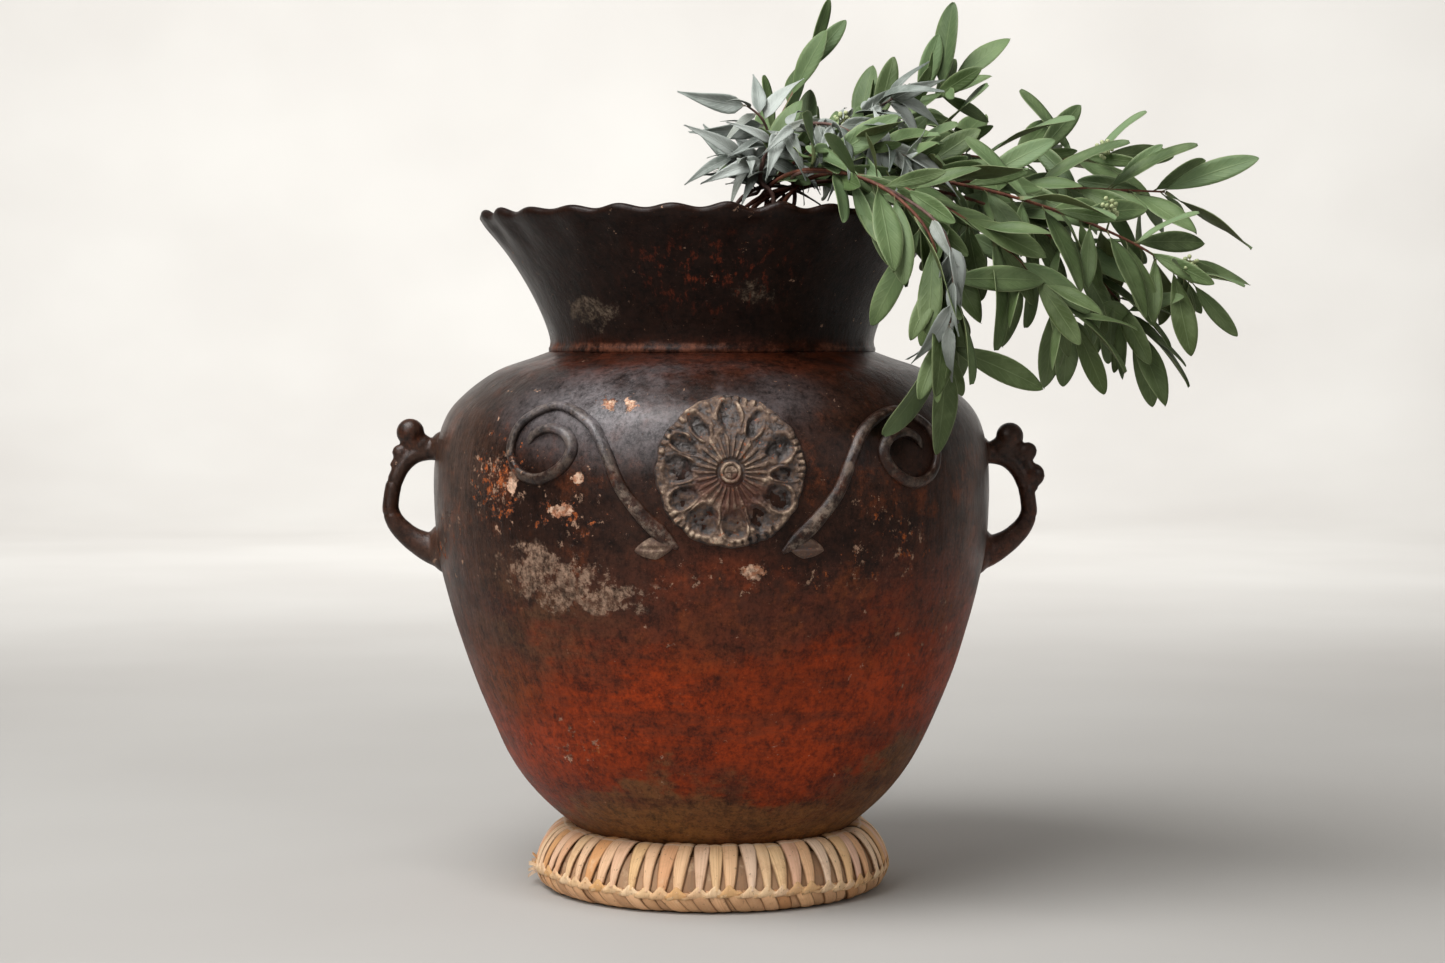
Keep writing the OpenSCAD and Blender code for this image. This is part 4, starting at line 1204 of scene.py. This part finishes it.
def seeds_piece(material):
    """Clusters of seed buds, each bud on a short stalk that leaves the cluster's axis."""
    names = [s[0] for s in SPRIGS]
    shapes, values = [], []
    for c, (name, t) in enumerate(SEEDS):
        foot = spline(stem_route(names.index(name)), t)[0]
        turn = radians(60 * c)
        lean = np.array(Matrix.Rotation(radians(25 * sin(turn)), 3, "Y")
                        @ Matrix.Rotation(radians(62 + 20 * cos(turn)), 3, "X"))

        def place(points):
            return foot + np.asarray(points, float) @ lean.T

        stalk = [(0, 0, 0), (0.8, 0, 9), (0.4, 0, 18), (0, 0.3, 28)]
        points, faces = tube(stalk, [0.9, 0.8, 0.7, 0.5], 8)
        shapes.append((place(points), faces))
        values += [0.0] * len(points)
        for i in range(16):
            a = radians(NEXT * i)
            out = 3.4 + 3.4 * hashed(i, c + 70)
            at = np.array([out * cos(a), out * sin(a), 15.4 + 0.85 * i])
            points, faces = tube([(0, 0, at[2] - 1.4), at * [0.5, 0.5, 1] - [0, 0, 0.5], at],
                                 [0.4, 0.4, 0.4], 6)
            shapes.append((place(points), faces))
            values += [0.0] * len(points)
            size = 1.5 + 0.5 * hashed(i, c + 71)
            points, faces = ball(at, (size, size, size * 1.15), 20 * hashed(i, c), 2)
            shapes.append((place(points), faces))
            values += [0.4 + 0.6 * hashed(i, c + 72)] * len(points)
    return mesh_piece("seed_buds", joined(shapes), "spray", material, ["seed_clusters"],
                      values={"own": values})


def leaf_material(name, tops, unders, vein, edge, rough, low, how_low):
    """A leaf's two sides, with a midrib, side veins, a paler edge line and its own tone."""
    p = Paint(name)
    own, along, across = p.value("own"), p.value("along"), p.value("across")
    under = p.step(p.value("under"), 0.4, 0.6)
    spots = len(tops) - 1
    top = p.ramp(own, [(i / spots, srgb(*c)) for i, c in enumerate(tops)])
    shift = p.math("FRACT", own * 7.3)
    spots = len(unders) - 1
    below = p.ramp(shift, [(i / spots, srgb(*c)) for i, c in enumerate(unders)])
    colour = p.mix(under, top, below)
    colour = p.mix(p.step(p.along("Z"), 545, 430, 0.0, how_low), colour, srgb(*low))
    blotch = p.noise(24, 4, 0.6, shift=2.9)
    colour = p.mix(p.step(blotch, 0.4, 0.66, 0.0, 0.35), colour, srgb(*vein))
    side = p.math("ABSOLUTE", across)
    ribs = p.math("SINE", (along + side * -0.16) * 88.0)
    ribs = p.step(ribs, 0.6, 1.0) * p.step(side, 0.08, 0.3)
    colour = p.mix(ribs * 0.1, colour, srgb(*vein))
    midrib = p.step(side, 0.02, 0.07, 1.0, 0.0)
    colour = p.mix(midrib * 0.35, colour, srgb(*vein))
    rim = p.step(side, 0.9, 0.99)
    colour = p.mix(rim * 0.6, colour, srgb(*edge))
    base = p.step(along, 0.04, 0.16, 1.0, 0.0)
    colour = p.mix(base * 0.5, colour, srgb(124, 104, 70))
    relief = ribs * 0.4 + (midrib * 0.8 + p.noise(3, 4, 0.6))
    return p.finish(colour, p.mix_value(under, rough, rough + 0.15), p.bump(relief, 0.25),
                    Specular_IOR_Level=0.4)


def bark(name, low, high):
    """A thin reddish twig with length-wise streaks."""
    p = Paint(name)
    streak = p.noise(6, 5, 0.65, (1.2, 1.2, 0.5))
    colour = p.ramp(streak, [(0.32, srgb(*low)), (0.66, srgb(*high))])
    return p.finish(colour, 0.6, p.bump(streak, 0.3), Specular_IOR_Level=0.35)


def bud_material():
    p = Paint("seed_bud")
    own = p.value("own")
    colour = p.ramp(own, [(0.0, srgb(112, 116, 78)), (0.35, srgb(132, 142, 100)),
                          (0.7, srgb(164, 174, 128)), (1.0, srgb(190, 196, 152))])
    mottle = p.noise(2, 4, 0.6)
    colour = p.mix(p.step(mottle, 0.5, 0.7, 0.0, 0.4), colour, srgb(120, 128, 86))
    return p.finish(colour, 0.6, p.bump(mottle, 0.2), Specular_IOR_Level=0.35)


def make_spray():
    green = leaf_material(
        "eucalyptus_leaf",
        [(74, 91, 50), (94, 116, 74), (62, 80, 42), (114, 138, 98), (86, 108, 62), (54, 71, 30),
         (102, 126, 84)],
        [(82, 90, 44), (100, 109, 64), (66, 73, 36)],
        (124, 141, 96), (144, 155, 112), 0.6, (70, 82, 34), 0.5)
    silver = leaf_material(
        "silver_leaf_skin",
        [(128, 136, 130), (168, 174, 168), (92, 102, 94), (148, 152, 142), (76, 86, 76)],
        # The silver leaf's underside colours are a darker copy of its top colours: painted shade
        [(60, 70, 62), (80, 82, 70), (52, 56, 50)],
        (188, 194, 188), (160, 168, 160), 0.55, (92, 100, 96), 0.5)
    twig = bark("red_twig", (76, 40, 34), (124, 76, 56))
    grey_twig = bark("silver_twig", (66, 44, 42), (112, 84, 74))
    for k, sprig in enumerate(SPRIGS):
        leaves_piece(k, silver if sprig[1] else green)
        twig_piece(k, grey_twig if sprig[1] else twig)
    seeds_piece(bud_material())


# ---- studio ----

def area_light(name, place, target, size, power, colour=(1, 1, 1)):
    data = bpy.data.lights.new(name, "AREA")
    data.shape, data.size, data.size_y = "RECTANGLE", size[0], size[1]
    data.energy, data.color = power, colour
    lamp = bpy.data.objects.new(name, data)
    bpy.context.scene.collection.objects.link(lamp)
    lamp.location = place
    aim = Vector(target) - Vector(place)
    lamp.rotation_mode = "QUATERNION"
    lamp.rotation_quaternion = aim.to_track_quat("-Z", "Y")
    return lamp


def make_camera():
    """The photograph's view: level with the shoulder, a little to the left, a long lens."""
    data = bpy.data.cameras.new("camera")
    data.lens, data.sensor_width = 70.83, 36
    camera = bpy.data.objects.new("camera", data)
    camera.location = (-0.1389, -2.2708, 0.436)
    camera.rotation_euler = (radians(87.15), 0, radians(-3.71))
    bpy.context.scene.collection.objects.link(camera)
    bpy.context.scene.camera = camera


def make_floor():
    """A pale floor that turns up far away into a pale backdrop on every side, in metres."""
    flat, curve, top, sides = 4.4, 1.6, 4.2, 96
    outline = [(1.5, 0), (flat, 0)]
    outline += [(flat + curve * sin(a), curve - curve * cos(a))
                for a in np.linspace(0.15, pi / 2, 12)]
    outline.append((flat + curve, top))
    angle = np.arange(sides) * tau / sides
    points = [(0, 0, 0)] + [(r * cos(a), r * sin(a), z) for r, z in outline for a in angle]
    faces = [(0, 1 + j, 1 + (j + 1) % sides) for j in range(sides)]
    faces += [[1 + i for i in face[::-1]] for face in grid_faces(len(outline), sides, True)]
    mesh = bpy.data.meshes.new("floor")
    mesh.from_pydata(points, [], faces)
    mesh.polygons.foreach_set("use_smooth", [True] * len(mesh.polygons))
    floor = bpy.data.objects.new("floor", mesh)
    bpy.context.scene.collection.objects.link(floor)
    p = Paint("pale_floor")
    tone = p.noise(900, 3, 0.5)
    colour = p.ramp(tone, [(0.3, srgb(172, 169, 165)), (0.7, srgb(182, 180, 176))])
    mesh.materials.append(p.finish(colour, 0.9, None, Specular_IOR_Level=0.1))


def make_light():
    world = bpy.data.worlds.new("world")
    world.use_nodes = True
    world.node_tree.nodes["Background"].inputs[0].default_value = (1, 0.98, 0.95, 1)
    world.node_tree.nodes["Background"].inputs[1].default_value = 0.22
    scene = bpy.context.scene
    scene.world = world
    scene.view_settings.view_transform = "Standard"
    area_light("overhead", (-0.75, -0.75, 2.2), (0, 0, 0.4), (1.4, 1.1), 58)
    area_light("front_left", (-1.9, -2.8, 1.9), (0, 0, 0.35), (1.4, 1.4), 46)
    area_light("front_right", (2.4, -2.2, 1.4), (0, 0, 0.35), (1.2, 1.2), 10)
    area_light("backdrop", (0, 2.6, 3.6), (0, 6.0, 0.9), (3.6, 0.8), 330)


def make_jar():
    wall_clay = clay("burnished_clay")
    neck_clay = clay("smoked_clay", 0.14)
    rolled = clay("rolled_clay", 0.3)
    deposit = deposit_clay("worn_relief")
    body_piece(wall_clay)
    neck_piece(neck_clay)
    rosette_piece(deposit)
    for side in (-1, 1):
        handle_piece(side, rolled)
        scroll_piece(side, rolled)
        scroll_leaf_piece(side, deposit)


make_camera()
make_light()
make_floor()
make_jar()
make_ring()
make_spray()
bpy.context.view_layer.update()
